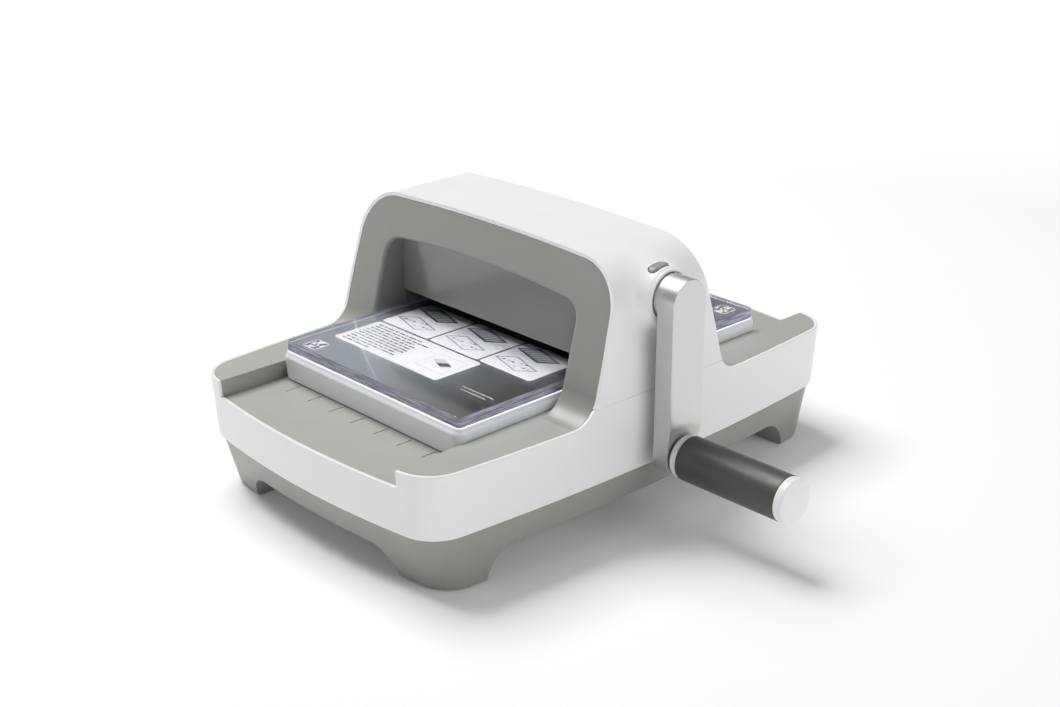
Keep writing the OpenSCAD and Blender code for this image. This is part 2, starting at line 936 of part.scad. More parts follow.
module coil_spring(r, wire_r, length, turns) {
  steps = turns * 12;
  sides = 6;
  rings = [
    for (j = [0:steps])
      for (k = [0:sides - 1])
        let (a = j * 30, b = k * 360 / sides, out = r + wire_r * cos(b))
        [out * cos(a), out * sin(a), wire_r + (length - 2 * wire_r) * j / steps + wire_r * sin(b)]
  ];
  skin = [
    for (j = [0:steps - 1])
      for (k = [0:sides - 1])
        let (p = j * sides + k, q = j * sides + (k + 1) % sides)
        each [[p, p + sides, q], [q, p + sides, q + sides]]
  ];
  first = [for (k = [0:sides - 1]) k];
  last = [for (k = [sides - 1:-1:0]) steps * sides + k];
  polyhedron(rings, concat([first, last], skin));
}
module button_springs() {
  seat_z = crank_z + 5.05;
  color("#9da1a4")
    for (s = [-1, 1])
      translate([108.2, s * 6.9, seat_z])
        coil_spring(1.2, 0.3, 6.6, 5);
}

// Platform: a ribbed top, a flat sole, a printed card and two clear pads
platform_half_w = channel_half - 0.5;
sole_t = 2;
platform_corner = 6;
module platform_top() {
  low_z = sole_z + sole_t;
  bevel = 3.6;
  bevel_scale = [1 - 2 / platform_half_w, 1 - 2 / platform_half_l];
  color("#dfe1e2")
    difference() {
      union() {
        translate([0, 0, low_z])
          linear_extrude(platform_top_z - bevel - low_z)
            rounded(platform_half_w, platform_half_l, platform_corner);
        translate([0, 0, platform_top_z - bevel])
          linear_extrude(bevel, scale = bevel_scale, slices = 1, segments = 1)
            rounded(platform_half_w, platform_half_l, platform_corner, $fn = 48);
      }
      for (i = [-1.5:1:1.5])
        for (j = [-2.5:1:2.5])
          translate([i * 37.5, j * 39, low_z - 1])
            linear_extrude(platform_top_z - low_z - 2)
              rounded(17.4, 18.2, 4);
    }
}
module platform_sole() {
  color("#d4d6d7")
    translate([0, 0, sole_z])
      linear_extrude(sole_t)
        rounded(platform_half_w, platform_half_l, platform_corner);
}
module instruction_card() {
  color("#5f6366")
    translate([0, 0, platform_top_z])
      linear_extrude(card_t)
        rounded(pad_w / 2 - 0.6, pad_half_l - 0.6, 2.5);
}
module clear_pad(z) {
  translate([0, 0, z])
    linear_extrude(pad_t)
      rounded(pad_w / 2, pad_half_l, 3);
}
module lower_pad() {
  color([0.78, 0.8, 0.87, 0.4])
    clear_pad(card_z);
}
module upper_pad() {
  color([0.78, 0.8, 0.87, 0.4])
    clear_pad(card_z + pad_t);
}

// Moves a sub-part from the middle of the body to the middle of the whole footprint
module place() {
  translate([-body_mid_x, 0, 0])
    children();
}

place() base_shell();
place() foot_pads();
place() side_belt();
place() deck_tray();
place() front_bezel();
place() rear_bezel();
place() arch_cover();
place() front_roller_cover();
place() rear_roller_cover();
place() left_liner();
place() right_liner();
place() left_frame_plate();
place() right_frame_plate();
place() tie_bars();
place() frame_screws();
place() base_screws();
place() deck_screws();
place() upper_left_bush();
place() upper_right_bush();
place() lower_left_bush();
place() lower_right_bush();
place() crank_inner_bush();
place() crank_outer_bush();
place() gear_bracket();
place() bracket_posts();
place() button_guide();
place() upper_roller();
place() upper_sync_gear();
place() drive_gear();
place() upper_roller_clips();
place() lower_roller();
place() lower_sync_gear();
place() lower_roller_clips();
place() pinion_shaft();
place() pinion_clip();
place() crank_stub();
place() crank_arm();
place() grip_spindle();
place() grip_core();
place() grip_sleeve();
place() grip_collar();
place() grip_end_cap();
place() release_button();
place() latch_plate();
place() button_springs();
place() platform_top();
place() platform_sole();
place() instruction_card();
place() lower_pad();
place() upper_pad();
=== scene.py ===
"""The looks of the hand-cranked die cutting machine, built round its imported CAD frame.

Shapes are in millimetres from the middle of the machine's body, and make() moves them into the frame.
"""

import json
import math

import bmesh
import bpy
import numpy as np
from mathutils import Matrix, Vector


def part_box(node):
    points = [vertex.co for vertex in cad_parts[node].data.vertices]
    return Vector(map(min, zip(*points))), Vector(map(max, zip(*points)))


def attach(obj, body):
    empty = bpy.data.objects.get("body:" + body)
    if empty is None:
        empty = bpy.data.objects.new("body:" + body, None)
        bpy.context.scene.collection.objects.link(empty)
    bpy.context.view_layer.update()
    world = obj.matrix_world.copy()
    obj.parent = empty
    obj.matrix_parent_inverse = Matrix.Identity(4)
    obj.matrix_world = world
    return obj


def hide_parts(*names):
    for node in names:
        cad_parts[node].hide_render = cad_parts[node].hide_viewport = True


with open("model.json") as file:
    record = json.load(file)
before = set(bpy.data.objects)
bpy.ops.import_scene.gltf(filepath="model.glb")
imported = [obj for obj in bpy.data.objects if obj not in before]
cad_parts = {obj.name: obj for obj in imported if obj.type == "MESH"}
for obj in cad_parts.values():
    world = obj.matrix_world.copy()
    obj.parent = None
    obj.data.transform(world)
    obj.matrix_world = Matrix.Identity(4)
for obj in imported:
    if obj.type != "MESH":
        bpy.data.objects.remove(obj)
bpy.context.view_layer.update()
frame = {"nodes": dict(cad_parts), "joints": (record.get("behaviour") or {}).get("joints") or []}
nodes = frame["nodes"]
MM = 0.001


# ---- Sizes, from the frame ----

BODY_MID_X = sum(corner.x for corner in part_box("side_belt")) / 2 / MM


def size_of(node):
    """Lowest and highest corner of a CAD node, in millimetres from the middle of the body."""
    low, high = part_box(node)
    shift = Vector((BODY_MID_X, 0, 0))
    return low / MM - shift, high / MM - shift


def joint_place(name):
    """A joint's point, in millimetres from the middle of the body."""
    joint = next(j for j in frame["joints"] if j["name"] == name)
    return Vector(joint["pos_m"]) / MM - Vector((BODY_MID_X, 0, 0))


BELT_LOW, BELT_HIGH = size_of("side_belt")
HALF_W, HALF_L = BELT_HIGH.x, BELT_HIGH.y
BELT_Z, SEAM_Z = BELT_LOW.z, BELT_HIGH.z
ARCH_TOP_Z = size_of("arch_cover")[1].z
BOSS_X = size_of("arch_cover")[1].x
CRANK_Z = joint_place("crank_spin").z
GRIP_Z = joint_place("grip_spin").z
ARM_LOW, ARM_HIGH = size_of("crank_arm")
ARM_R = ARM_HIGH.y
SLEEVE_LOW, SLEEVE_HIGH = size_of("grip_sleeve")
GRIP_R = SLEEVE_HIGH.y
CAP_X = size_of("grip_end_cap")[1].x
COLLAR_X = size_of("grip_collar")[0].x
SLAB_HIGH = size_of("platform_top")[1]
PAD_LOW, PAD_HIGH = size_of("lower_pad")
UPPER_PAD_HIGH = size_of("upper_pad")[1]
CARD_LOW, CARD_HIGH = size_of("instruction_card")

# Sizes that no single node's box gives. They follow part.scad, except that the boss's edge is
# 0.6 mm slimmer and the channel's floor 0.1 mm lower.
WALL = 2.4
RIM_Z = 73.6
DECK_Z = 73.4
FLOOR_Z = 63.3
CHANNEL_HALF = 80.5
CORNER_R = 24
END_BOW_R = 592
SIDE_BOW_R = 1500
ARCH_HALF, ARCH_R, ARCH_CROWN_R, ARCH_LEAN = 110, 30, 1600, 3.5
OPEN_HALF, OPEN_TOP_Z, OPEN_R, OPEN_CROWN_R = 83, 136.5, 12, 800
FACE_LEAN = 15.1
FACE_REF_Y, FACE_REF_Z = 50.5, 87.7
SKIRT_R = 18
BOSS_R = 15.9
RECESS_R, RECESS_DEPTH = 13.9, 2.4
DISH_R, DISH_DEPTH = 68, 3
TUNNEL_Y = 24

# Points round fine turned parts, the angle where smooth shading stops, and a rectangle's corners
FINE_TURN, HUB_TURN = 128, 160
SHARP_ANGLE = 35
CORNERS = ((-1, -1), (1, -1), (1, 1), (-1, 1))


# ---- Outlines ----

def arc(cx, cy, r, start, end, steps):
    """Points along an arc, in degrees."""
    a = np.radians(np.linspace(start, end, steps + 1))
    return np.stack([cx + r * np.cos(a), cy + r * np.sin(a)], 1)


def mirrored(half):
    """An outline from its right half, which ends on the middle line, continued round the left."""
    return np.concatenate([half, (half * [-1, 1])[-2::-1]])


class Plan:
    """The lower shell's plan: bowed sides and ends that touch round corners."""

    side_x = HALF_W - SIDE_BOW_R
    end_y = HALF_L - END_BOW_R
    gap = math.hypot(side_x, end_y)
    ra, rb = SIDE_BOW_R - CORNER_R, END_BOW_R - CORNER_R
    along = (ra * ra - rb * rb + gap * gap) / (2 * gap)
    across = math.sqrt(ra * ra - along * along)
    corner_x = side_x - (along * side_x + across * end_y) / gap
    corner_y = (along * end_y - across * side_x) / gap
    side_turn = math.degrees(math.atan2(corner_y, corner_x - side_x))
    end_turn = math.degrees(math.atan2(corner_y - end_y, corner_x))

    @classmethod
    def quarter(cls, inset):
        """From the middle of the right side round to the middle of the rear end."""
        side = arc(cls.side_x, 0, SIDE_BOW_R - inset, 0, cls.side_turn, 44)
        corner = arc(cls.corner_x, cls.corner_y, CORNER_R - inset, cls.side_turn, cls.end_turn, 16)
        end_start = END_BOW_R * math.cos(math.radians(cls.end_turn))
        stops = [end_start, CHANNEL_HALF + 3.2, *np.linspace(CHANNEL_HALF - 3.2, 0, 29)]
        turns = np.arccos(np.array(stops) / END_BOW_R)
        r = END_BOW_R - inset
        end = np.stack([r * np.cos(turns), cls.end_y + r * np.sin(turns)], 1)
        return np.concatenate([side[:-1], corner[:-1], end])

    @classmethod
    def outline(cls, inset=0.0):
        """The whole outline, from the middle of the right side."""
        rear = mirrored(cls.quarter(inset))
        return np.concatenate([rear, (rear * [1, -1])[-2:0:-1]])

    @classmethod
    def half_width(cls, y, inset=0.0):
        """Distance from the middle to the bowed side at y."""
        return cls.side_x + np.sqrt((SIDE_BOW_R - inset) ** 2 - np.asarray(y) ** 2)


def portal_half(half_w, top_z, r, crown_r, lean, inset, low_zs, shoulder=16, crown=20):
    """Right half of a portal: a leaning side at the heights low_zs, a round shoulder and a crown."""
    cx = half_w - r
    cz = shoulder_z(half_w, top_z, r, crown_r)
    turn = math.degrees(math.atan2(cz - top_z + crown_r, cx))
    s, c = math.sin(math.radians(lean)), math.cos(math.radians(lean))
    zs = np.asarray(low_zs, float)
    side = np.stack([cx + (r - inset - (zs - cz) * s) / c, zs], 1)
    return np.concatenate([
        side,
        arc(cx, cz, r - inset, lean, turn, shoulder)[1:],
        arc(0, top_z - crown_r, crown_r - inset, turn, 90, crown)[1:],
    ])


def shoulder_z(half_w, top_z, r, crown_r):
    """Height of a portal's shoulder centres."""
    return top_z - crown_r + math.sqrt((crown_r - r) ** 2 - (half_w - r) ** 2)


ARCH = (ARCH_HALF, ARCH_TOP_Z, ARCH_R, ARCH_CROWN_R)
OPENING = (OPEN_HALF, OPEN_TOP_Z, OPEN_R, OPEN_CROWN_R)
ARCH_CX = ARCH_HALF - ARCH_R
ARCH_CZ, OPEN_CZ = shoulder_z(*ARCH), shoulder_z(*OPENING)
SKIRT_Z = DECK_Z + SKIRT_R
LEAN_TAN = math.tan(math.radians(FACE_LEAN))
FACE_Y = FACE_REF_Y - LEAN_TAN * (SKIRT_Z - FACE_REF_Z)
SKIRT_Y = FACE_Y + SKIRT_R / math.cos(math.radians(FACE_LEAN))
SKIRT_TOP_Z = SKIRT_Z - SKIRT_R * math.sin(math.radians(FACE_LEAN))


def face_at(z, inset=0.0):
    """How far the arch's face stands from the middle at height z, and its outward normal (y, z)."""
    r = SKIRT_R + inset
    if z < SKIRT_TOP_Z:
        down = min(SKIRT_Z - z, SKIRT_R) / SKIRT_R
        level = math.sqrt(1 - down * down)
        return SKIRT_Y - r * level, (level, down)
    lean = math.radians(FACE_LEAN)
    y = SKIRT_Y - SKIRT_R * math.cos(lean) - (z - SKIRT_TOP_Z) * LEAN_TAN
    return y - inset / math.cos(lean), (math.cos(lean), math.sin(lean))


# ---- Mesh building ----

def add_object(name, data):
    """A new object in the scene."""
    thing = bpy.data.objects.new(name, data)
    bpy.context.scene.collection.objects.link(thing)
    return thing


def make(name, points, faces):
    """A mesh object from points in millimetres from the middle of the body."""
    mesh = bpy.data.meshes.new(name)
    placed = (np.asarray(points, float) + [BODY_MID_X, 0, 0]) * MM
    mesh.from_pydata(placed.tolist(), [], faces)
    piece = add_object(name, mesh)
    bm = bmesh.new()
    bm.from_mesh(mesh)
    bmesh.ops.remove_doubles(bm, verts=bm.verts, dist=2e-6)
    bmesh.ops.recalc_face_normals(bm, faces=bm.faces)
    bm.to_mesh(mesh)
    bm.free()
    return piece


def loft(name, rings, caps=True, closed=False):
    """A skin through rings of equal length, each a closed loop of points."""
    rings = [np.asarray(r, float) for r in rings]
    n = len(rings[0])
    faces = []
    spans = len(rings) if closed else len(rings) - 1
    for i in range(spans):
        low, high = i * n, (i + 1) % len(rings) * n
        faces += [(low + k, low + (k + 1) % n, high + (k + 1) % n, high + k) for k in range(n)]
    if caps and not closed:
        faces += [tuple(range(n))[::-1], tuple(range((len(rings) - 1) * n, len(rings) * n))]
    return make(name, np.concatenate(rings), faces)


def raised(outline, z):
    """A level ring at height z from an outline in (x, y)."""
    return np.column_stack([outline, np.full(len(outline), float(z))])


def plate(name, outline_at, profile):
    """A solid whose outline at each step of the profile (inset, height) is outline_at(inset)."""
    return loft(name, [raised(outline_at(inset), z) for inset, z in profile])


def lathe(name, profile, z, steps=96):
    """A solid turned about the X direction from a profile of (x, radius)."""
    turn = np.linspace(0, 2 * math.pi, steps, endpoint=False)
    rings = [
        np.stack([np.full(steps, x), r * np.cos(turn), z + r * np.sin(turn)], 1)
        for x, r in profile
    ]
    return loft(name, rings, caps=profile[0] != profile[-1])


def turned_part(name, points, radii, z, steps):
    """A softened solid turned about X from a profile with rounded corners."""
    return soften(lathe(name, rounded_profile(points, radii), z, steps))


def rounded_box(half_x, half_y, r, steps=8):
    """Outline of a rectangle with round corners, as a function of its inset."""
    def outline(inset):
        corner = max(r - inset, 0.05)
        cx, cy = half_x - inset - corner, half_y - inset - corner
        return np.concatenate([
            arc(sx * cx, sy * cy, corner, start, start + 90, steps)
            for sx, sy, start in ((1, 1, 0), (-1, 1, 90), (-1, -1, 180), (1, -1, 270))
        ])
    return outline


def fillet(corner, before, after, r):
    """Points that round a profile's corner by r, between the directions to its neighbours."""
    corner, before, after = (np.asarray(p, float) for p in (corner, before, after))
    a = (before - corner) / np.linalg.norm(before - corner)
    b = (after - corner) / np.linalg.norm(after - corner)
    t = np.linspace(0, 1, 5)[:, None]
    start, end = corner + a * r, corner + b * r
    return (1 - t) ** 2 * start + 2 * t * (1 - t) * corner + t ** 2 * end


def rounded_profile(points, radii):
    """A profile with each corner rounded by its own radius; 0 keeps the corner."""
    out = []
    for i, (p, r) in enumerate(zip(points, radii)):
        if r and 0 < i < len(points) - 1:
            out += [tuple(q) for q in fillet(p, points[i - 1], points[i + 1], r)]
        else:
            out.append(tuple(p))
    return out


def prism(axis, outline, low, high):
    """A closed prism to cut others with; its outline lies across the axis."""
    columns = {"x": (2, 0, 1), "y": (0, 2, 1), "z": (0, 1, 2)}[axis]
    rings = []
    for level in (low, high):
        flat = np.column_stack([outline, np.full(len(outline), float(level))])
        rings.append(flat[:, columns])
    return loft("cutter", rings)


def box(low, high):
    """A box to cut others with, from its lowest to its highest corner."""
    (x0, y0, z0), (x1, y1, z1) = low, high
    return prism("z", np.array([[x0, y0], [x1, y0], [x1, y1], [x0, y1]]), z0, z1)


def settle(piece):
    """Makes the result of the modifiers the piece's own mesh."""
    bpy.context.view_layer.update()
    graph = bpy.context.evaluated_depsgraph_get()
    done = bpy.data.meshes.new_from_object(piece.evaluated_get(graph))
    piece.modifiers.clear()
    piece.data = done
    return piece


def cut(piece, *cutters, operation="DIFFERENCE"):
    """Cuts a piece with others, which are used up."""
    for cutter in cutters:
        step = piece.modifiers.new("cut", "BOOLEAN")
        step.operation = operation
        step.solver = "EXACT"
        step.object = cutter
    settle(piece)
    for cutter in cutters:
        bpy.data.objects.remove(cutter)


def join(name, *pieces):
    """Several meshes as one piece."""
    bm = bmesh.new()
    for piece in pieces:
        bm.from_mesh(piece.data)
        bpy.data.objects.remove(piece)
    mesh = bpy.data.meshes.new(name)
    bm.to_mesh(mesh)
    bm.free()
    return add_object(name, mesh)


def round_edges(piece, width, segments, angle):
    """A bevel on the edges sharper than angle."""
    edge = piece.modifiers.new("edges", "BEVEL")
    edge.width = width * MM
    edge.segments = segments
    edge.limit_method = "ANGLE"
    edge.angle_limit = math.radians(angle)
    return edge


def soften(piece, width=0.0, segments=3, angle=30.0):
    """Rounds the edges sharper than angle by width, and smooths the shading."""
    for face in piece.data.polygons:
        face.use_smooth = True
    if width:
        round_edges(piece, width, segments, angle).miter_outer = "MITER_ARC"
    else:
        piece.data.set_sharp_from_angle(angle=math.radians(SHARP_ANGLE))
    shade = piece.modifiers.new("shade", "WEIGHTED_NORMAL")
    shade.keep_sharp = True
    shade.weight = 80
    return settle(piece)


def dress(piece, body, slot, material, *replaced):
    """Gives a piece its material, its body and the CAD nodes it stands for."""
    piece.data.materials.clear()
    piece.data.materials.append(material)
    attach(piece, body)
    if replaced:
        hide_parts(*replaced)


# ---- Materials ----

def linear(*srgb):
    """A colour of 0 to 255 steps per channel as the linear values that shaders take."""
    parts = [c / 255 for c in srgb]
    return [*(p / 12.92 if p <= 0.04045 else ((p + 0.055) / 1.055) ** 2.4 for p in parts), 1.0]


class Nodes:
    """A material's node tree, with the short calls that the materials below share."""

    def __init__(self, name):
        self.material = bpy.data.materials.new(name)
        self.material.use_nodes = True
        self.tree = self.material.node_tree
        self.shader = self.tree.nodes["Principled BSDF"]
        self.place = self.tree.nodes.new("ShaderNodeTexCoord").outputs["Object"]

    def add(self, kind, **values):
        """A new node of a kind, with its settings."""
        node = self.tree.nodes.new("ShaderNode" + kind)
        for key, value in values.items():
            setattr(node, key, value)
        return node

    def link(self, source, target):
        """Joins an output to an input."""
        self.tree.links.new(source, target)

    def feed(self, source, socket):
        """Joins an output to one of the shader's sockets."""
        self.link(source, self.shader.inputs[socket])

    def noise(self, scale, detail=2.0, stretch=None):
        """A noise of scale lumps per metre, squeezed along the axes as stretch says."""
        node = self.add("TexNoise")
        node.inputs["Scale"].default_value = scale
        node.inputs["Detail"].default_value = detail
        if stretch:
            mapping = self.add("Mapping")
            mapping.inputs["Scale"].default_value = stretch
            self.link(self.place, mapping.inputs["Vector"])
            self.link(mapping.outputs["Vector"], node.inputs["Vector"])
        else:
            self.link(self.place, node.inputs["Vector"])
        return node.outputs["Fac"]

    def remap(self, source, from_low, from_high, to_low=0.0, to_high=1.0):
        """A value brought from one range to another, and held at its ends."""
        node = self.add("MapRange")
        ends = {"From Min": from_low, "From Max": from_high, "To Min": to_low, "To Max": to_high}
        for socket, value in ends.items():
            node.inputs[socket].default_value = value
        self.link(source, node.inputs["Value"])
        return node.outputs["Result"]

    def spread(self, source, low, high):
        """A noise, which keeps mostly within 0.3 and 0.7, brought to low to high."""
        return self.remap(source, 0.3, 0.7, low, high)

    def mix(self, factor, first, second):
        """A colour that goes from first to second as the factor rises."""
        node = self.add("Mix", data_type="RGBA")
        self.link(factor, node.inputs["Factor"])
        node.inputs["A"].default_value = first
        node.inputs["B"].default_value = second
        return node.outputs["Result"]

    def bump(self, height, depth_mm, strength):
        """Fine relief on the surface."""
        node = self.add("Bump")
        node.inputs["Strength"].default_value = strength
        node.inputs["Distance"].default_value = depth_mm * MM
        self.link(height, node.inputs["Height"])
        self.feed(node.outputs["Normal"], "Normal")


def shade_of(colour, amount):
    """A colour made darker by a factor."""
    return [c * amount for c in colour[:3]] + [1.0]


def moulded(name, colour, rough, grain_mm, grain_depth, mottle):
    """Moulded plastic: a fine spark-eroded grain, slow changes of tone and slightly uneven gloss."""
    n = Nodes(name)
    tone = n.spread(n.noise(22, 3), 0, 1)
    n.feed(n.mix(tone, shade_of(colour, 1 - mottle), colour), "Base Color")
    n.feed(n.spread(n.noise(60, 4), rough - 0.04, rough + 0.04), "Roughness")
    n.bump(n.noise(1 / (grain_mm * MM), 3), grain_depth, 0.6)
    return n.material


def brushed(name, colour, rough, stretch):
    """Metal with fine lines along one direction, as stretch gives it."""
    n = Nodes(name)
    n.shader.inputs["Metallic"].default_value = 1
    lines = n.noise(900, 4, stretch)
    n.feed(n.mix(n.spread(lines, 0, 1), shade_of(colour, 0.93), colour), "Base Color")
    n.feed(n.spread(lines, rough - 0.05, rough + 0.06), "Roughness")
    n.bump(lines, 0.004, 0.5)
    return n.material


def satin_paint(name, colour, rough):
    """Silver paint: metal flakes under a thin clear coat."""
    n = Nodes(name)
    n.shader.inputs["Metallic"].default_value = 0.82
    n.shader.inputs["Coat Weight"].default_value = 0.25
    n.shader.inputs["Coat Roughness"].default_value = 0.25
    flakes = n.noise(2600, 2)
    n.feed(n.mix(n.spread(flakes, 0, 1), shade_of(colour, 0.97), colour), "Base Color")
    n.feed(n.spread(n.noise(60, 2), rough - 0.015, rough + 0.015), "Roughness")
    n.bump(flakes, 0.002, 0.5)
    return n.material


def soft_rubber(name, colour, rough):
    """Matt rubber with a fine pebbled skin."""
    n = Nodes(name)
    cells = n.add("TexVoronoi")
    cells.inputs["Scale"].default_value = 1400
    n.link(n.place, cells.inputs["Vector"])
    tone = n.spread(n.noise(90, 4), 0, 1)
    n.feed(n.mix(tone, shade_of(colour, 0.88), colour), "Base Color")
    n.feed(n.spread(n.noise(200, 3), rough - 0.05, rough + 0.05), "Roughness")
    n.bump(cells.outputs["Distance"], 0.03, 0.5)
    return n.material


def clear_sheet(name):
    """Clear cutting pad: lightly scratched faces, and saw-cut edges whose bluish, streaked colour is
    partly their own tint and partly painted light, carried out through the edges.

    Shadow rays pass through it, so that the card under it is lit.
    """
    n = Nodes(name)
    normal = n.add("SeparateXYZ")
    n.link(n.add("NewGeometry").outputs["Normal"], normal.inputs["Vector"])
    level = n.add("Math", operation="ABSOLUTE")
    n.link(normal.outputs["Z"], level.inputs[0])
    on_face = n.remap(level.outputs["Value"], 0.5, 0.9)
    # Painted light on the sideways faces: a bluish, streaked colour, partly the saw-cut edges' own
    # tint and marks, partly standing in for light that the sheet carries out to its edges
    streaks = n.spread(n.noise(75, 4, (1, 1, 9)), 0, 1)
    saw_cut_tint_and_edge_light = n.mix(streaks, (0.26, 0.26, 0.40, 1), (0.80, 0.81, 0.95, 1))
    tint = n.add("Mix", data_type="RGBA")
    n.link(on_face, tint.inputs["Factor"])
    n.link(saw_cut_tint_and_edge_light, tint.inputs["A"])
    tint.inputs["B"].default_value = (0.975, 0.98, 0.99, 1)
    n.feed(tint.outputs["Result"], "Base Color")
    n.feed(n.remap(on_face, 0, 1, 0.35, 1), "Transmission Weight")
    n.shader.inputs["IOR"].default_value = 1.49
    n.shader.inputs["Specular IOR Level"].default_value = 0.3
    scratches = n.noise(260, 5, (1, 14, 1))
    n.feed(n.spread(scratches, 0.01, 0.05), "Roughness")
    n.bump(scratches, 0.005, 0.3)
    clear = n.add("BsdfTransparent")
    clear.inputs["Color"].default_value = (0.95, 0.95, 0.97, 1)
    path, choice = n.add("LightPath"), n.add("MixShader")
    n.link(path.outputs["Is Shadow Ray"], choice.inputs["Fac"])
    n.link(n.shader.outputs["BSDF"], choice.inputs[1])
    n.link(clear.outputs["BSDF"], choice.inputs[2])
    n.link(choice.outputs["Shader"], n.tree.nodes["Material Output"].inputs["Surface"])
    return n.material


def laminate(n):
    """The soft, slightly uneven gloss of laminated card."""
    n.feed(n.spread(n.noise(80, 3), 0.28, 0.36), "Roughness")
    n.shader.inputs["Specular IOR Level"].default_value = 0.15
    n.bump(n.noise(700, 3), 0.004, 0.4)
    return n.material


def printed(name, colour):
    """Printed card: one tone with the fine dot of the print."""
    n = Nodes(name)
    dots = n.add("TexVoronoi")
    dots.inputs["Scale"].default_value = 1800
    n.link(n.place, dots.inputs["Vector"])
    tone = n.spread(dots.outputs["Distance"], 0, 1)
    n.feed(n.mix(tone, colour, shade_of(colour, 0.95)), "Base Color")
    return laminate(n)


def dark_print_and_painted_reflection(name, dark, light):
    """The card's ground: a dark print, with painted reflection that lightens it softly towards two
    opposite corners.
    """
    n = Nodes(name)
    along = n.add("SeparateXYZ")
    n.link(n.place, along.inputs["Vector"])
    # Painted reflection: X times Y, with a little noise, lightens the ground towards two opposite
    # corners
    corner = n.add("Math", operation="MULTIPLY")
    n.link(along.outputs["X"], corner.inputs[0])
    n.link(along.outputs["Y"], corner.inputs[1])
    painted_reflection_and_drift = n.add("Math", operation="MULTIPLY_ADD")
    n.link(n.noise(14, 2, (1, 0.5, 1)), painted_reflection_and_drift.inputs[0])
    painted_reflection_and_drift.inputs[1].default_value = 0.003
    n.link(corner.outputs["Value"], painted_reflection_and_drift.inputs[2])
    share = n.remap(painted_reflection_and_drift.outputs["Value"], -0.0005, 0.0095)
    n.feed(n.mix(share, dark, light), "Base Color")
    return laminate(n)


# Plastics: colour, roughness, grain and its depth in mm, mottling
WHITE = moulded("white_plastic", linear(232, 234, 235), 0.34, 0.30, 0.006, 0.012)
GREY = moulded("grey_plastic", linear(158, 158, 153), 0.36, 0.40, 0.012, 0.03)
# Painted shade: a darker copy of the grey plastic for the bezel's front-facing faces
BEZEL_GREY_PAINTED_SHADE = moulded("bezel_plastic_painted_shade", linear(144, 145, 140), 0.36, 0.40, 0.012, 0.03)
# Painted shade: a darker copy of the grey plastic for the base's front- and side-facing walls
BASE_GREY_PAINTED_SHADE = moulded("base_plastic_painted_shade", linear(148, 148, 142), 0.42, 0.40, 0.014, 0.03)
DARK_GREY = moulded("dark_plastic", linear(138, 139, 134), 0.17, 0.40, 0.004, 0.03)
SLAB_WHITE = moulded("platform_plastic", linear(231, 235, 238), 0.32, 0.30, 0.006, 0.015)
BUTTON_GREY = moulded("button_plastic", linear(140, 138, 132), 0.42, 0.25, 0.012, 0.03)
NYLON = moulded("gear_nylon", linear(233, 229, 216), 0.44, 0.30, 0.010, 0.03)

# Metals: colour, roughness, and the brushed lines' stretch along each axis
STEEL = brushed("frame_steel", linear(196, 199, 201), 0.34, (1, 1, 30))
DARK_STEEL = brushed("screw_steel", linear(128, 131, 134), 0.38, (1, 8, 8))
ROLLER_STEEL = brushed("roller_steel", linear(208, 210, 212), 0.22, (1, 40, 40))
BRONZE = brushed("bush_bronze", linear(190, 152, 98), 0.36, (20, 1, 1))

# Paint, rubber, clear plastic and print: colour and roughness
SILVER = satin_paint("crank_silver", linear(198, 200, 196), 0.38)
SLEEVE_RUBBER = soft_rubber("grip_rubber", linear(74, 75, 70), 0.42)
FOOT_RUBBER = soft_rubber("foot_rubber", linear(44, 44, 43), 0.70)
CLEAR = clear_sheet("clear_pad")
# The card's ground: dark print, lightened towards two corners by painted reflection
CARD_GROUND = dark_print_and_painted_reflection("card_ground", linear(22, 24, 26), linear(104, 110, 112))
CARD_WHITE = printed("card_white", linear(225, 223, 222))
CARD_INK = printed("card_ink", linear(24, 26, 28))
CARD_TINT = printed("card_tint", linear(150, 143, 166))
CARD_HALF_TONE = printed("card_half_tone", linear(172, 178, 174))


# ---- Base, belt and deck ----

def foot_arch(half, top_z):
    """Outline of the arch between two feet."""
    right = arc(half - top_z, 0, top_z, 0, 90, 12)
    left = arc(top_z - half, 0, top_z, 90, 180, 12)
    return np.concatenate([[[half, -5]], right, left, [[-half, -5]]])


BASE_INSET, SOLE_R = 2, 2.5
END_ARCH_HALF, END_ARCH_Z = 66, 18
SIDE_ARCH_HALF, SIDE_ARCH_Z = 125, 19.5
FOOT_PAD_X, FOOT_PAD_Y = 84.0, 137.0
FOOT_PAD_HALF_X, FOOT_PAD_HALF_Y = 8.0, 8.5
BELT_LIP = 3
LEDGE_LOW_Z, TRAY_LOW_Z = 70.5, 60.8
MARK_STEP, MARK_Y, MARK_HALF_X, MARK_HALF_Y = 20.5, 129.5, 0.35, 5.5
ROLLER_GAP_X, ROLLER_GAP_Y = 79.9, 11

# The plan's scale in X and Y at the belt's lower edge and at the ground
TOE_SCALE = np.array([0.99, 0.985])
GROUND_SCALE = np.array([0.986, 0.925])


def base():
    """The grey base on its four feet, tapered towards the ground."""
    foot_z = size_of("base_shell")[0].z
    profile = rounded_profile([(8, foot_z), (0, foot_z), (0, BELT_Z), (6, BELT_Z)], [0, SOLE_R, 0, 0])
    rings = []
    for inset, z in profile:
        down = (BELT_Z - z) / BELT_Z
        scale = TOE_SCALE * (1 - down) + GROUND_SCALE * down
        rings.append(raised(Plan.outline(BASE_INSET + inset) * scale, z))
    piece = loft("base_shell_moulding", rings)
    cut(
        piece,
        prism("y", foot_arch(END_ARCH_HALF, END_ARCH_Z), -200, 200),
        prism("x", foot_arch(SIDE_ARCH_HALF, SIDE_ARCH_Z), -200, 200),
    )
    soften(piece, 1.6, 4, 40)
    dress(piece, "housing", "grey_plastic", BASE_GREY_PAINTED_SHADE, "base_shell")


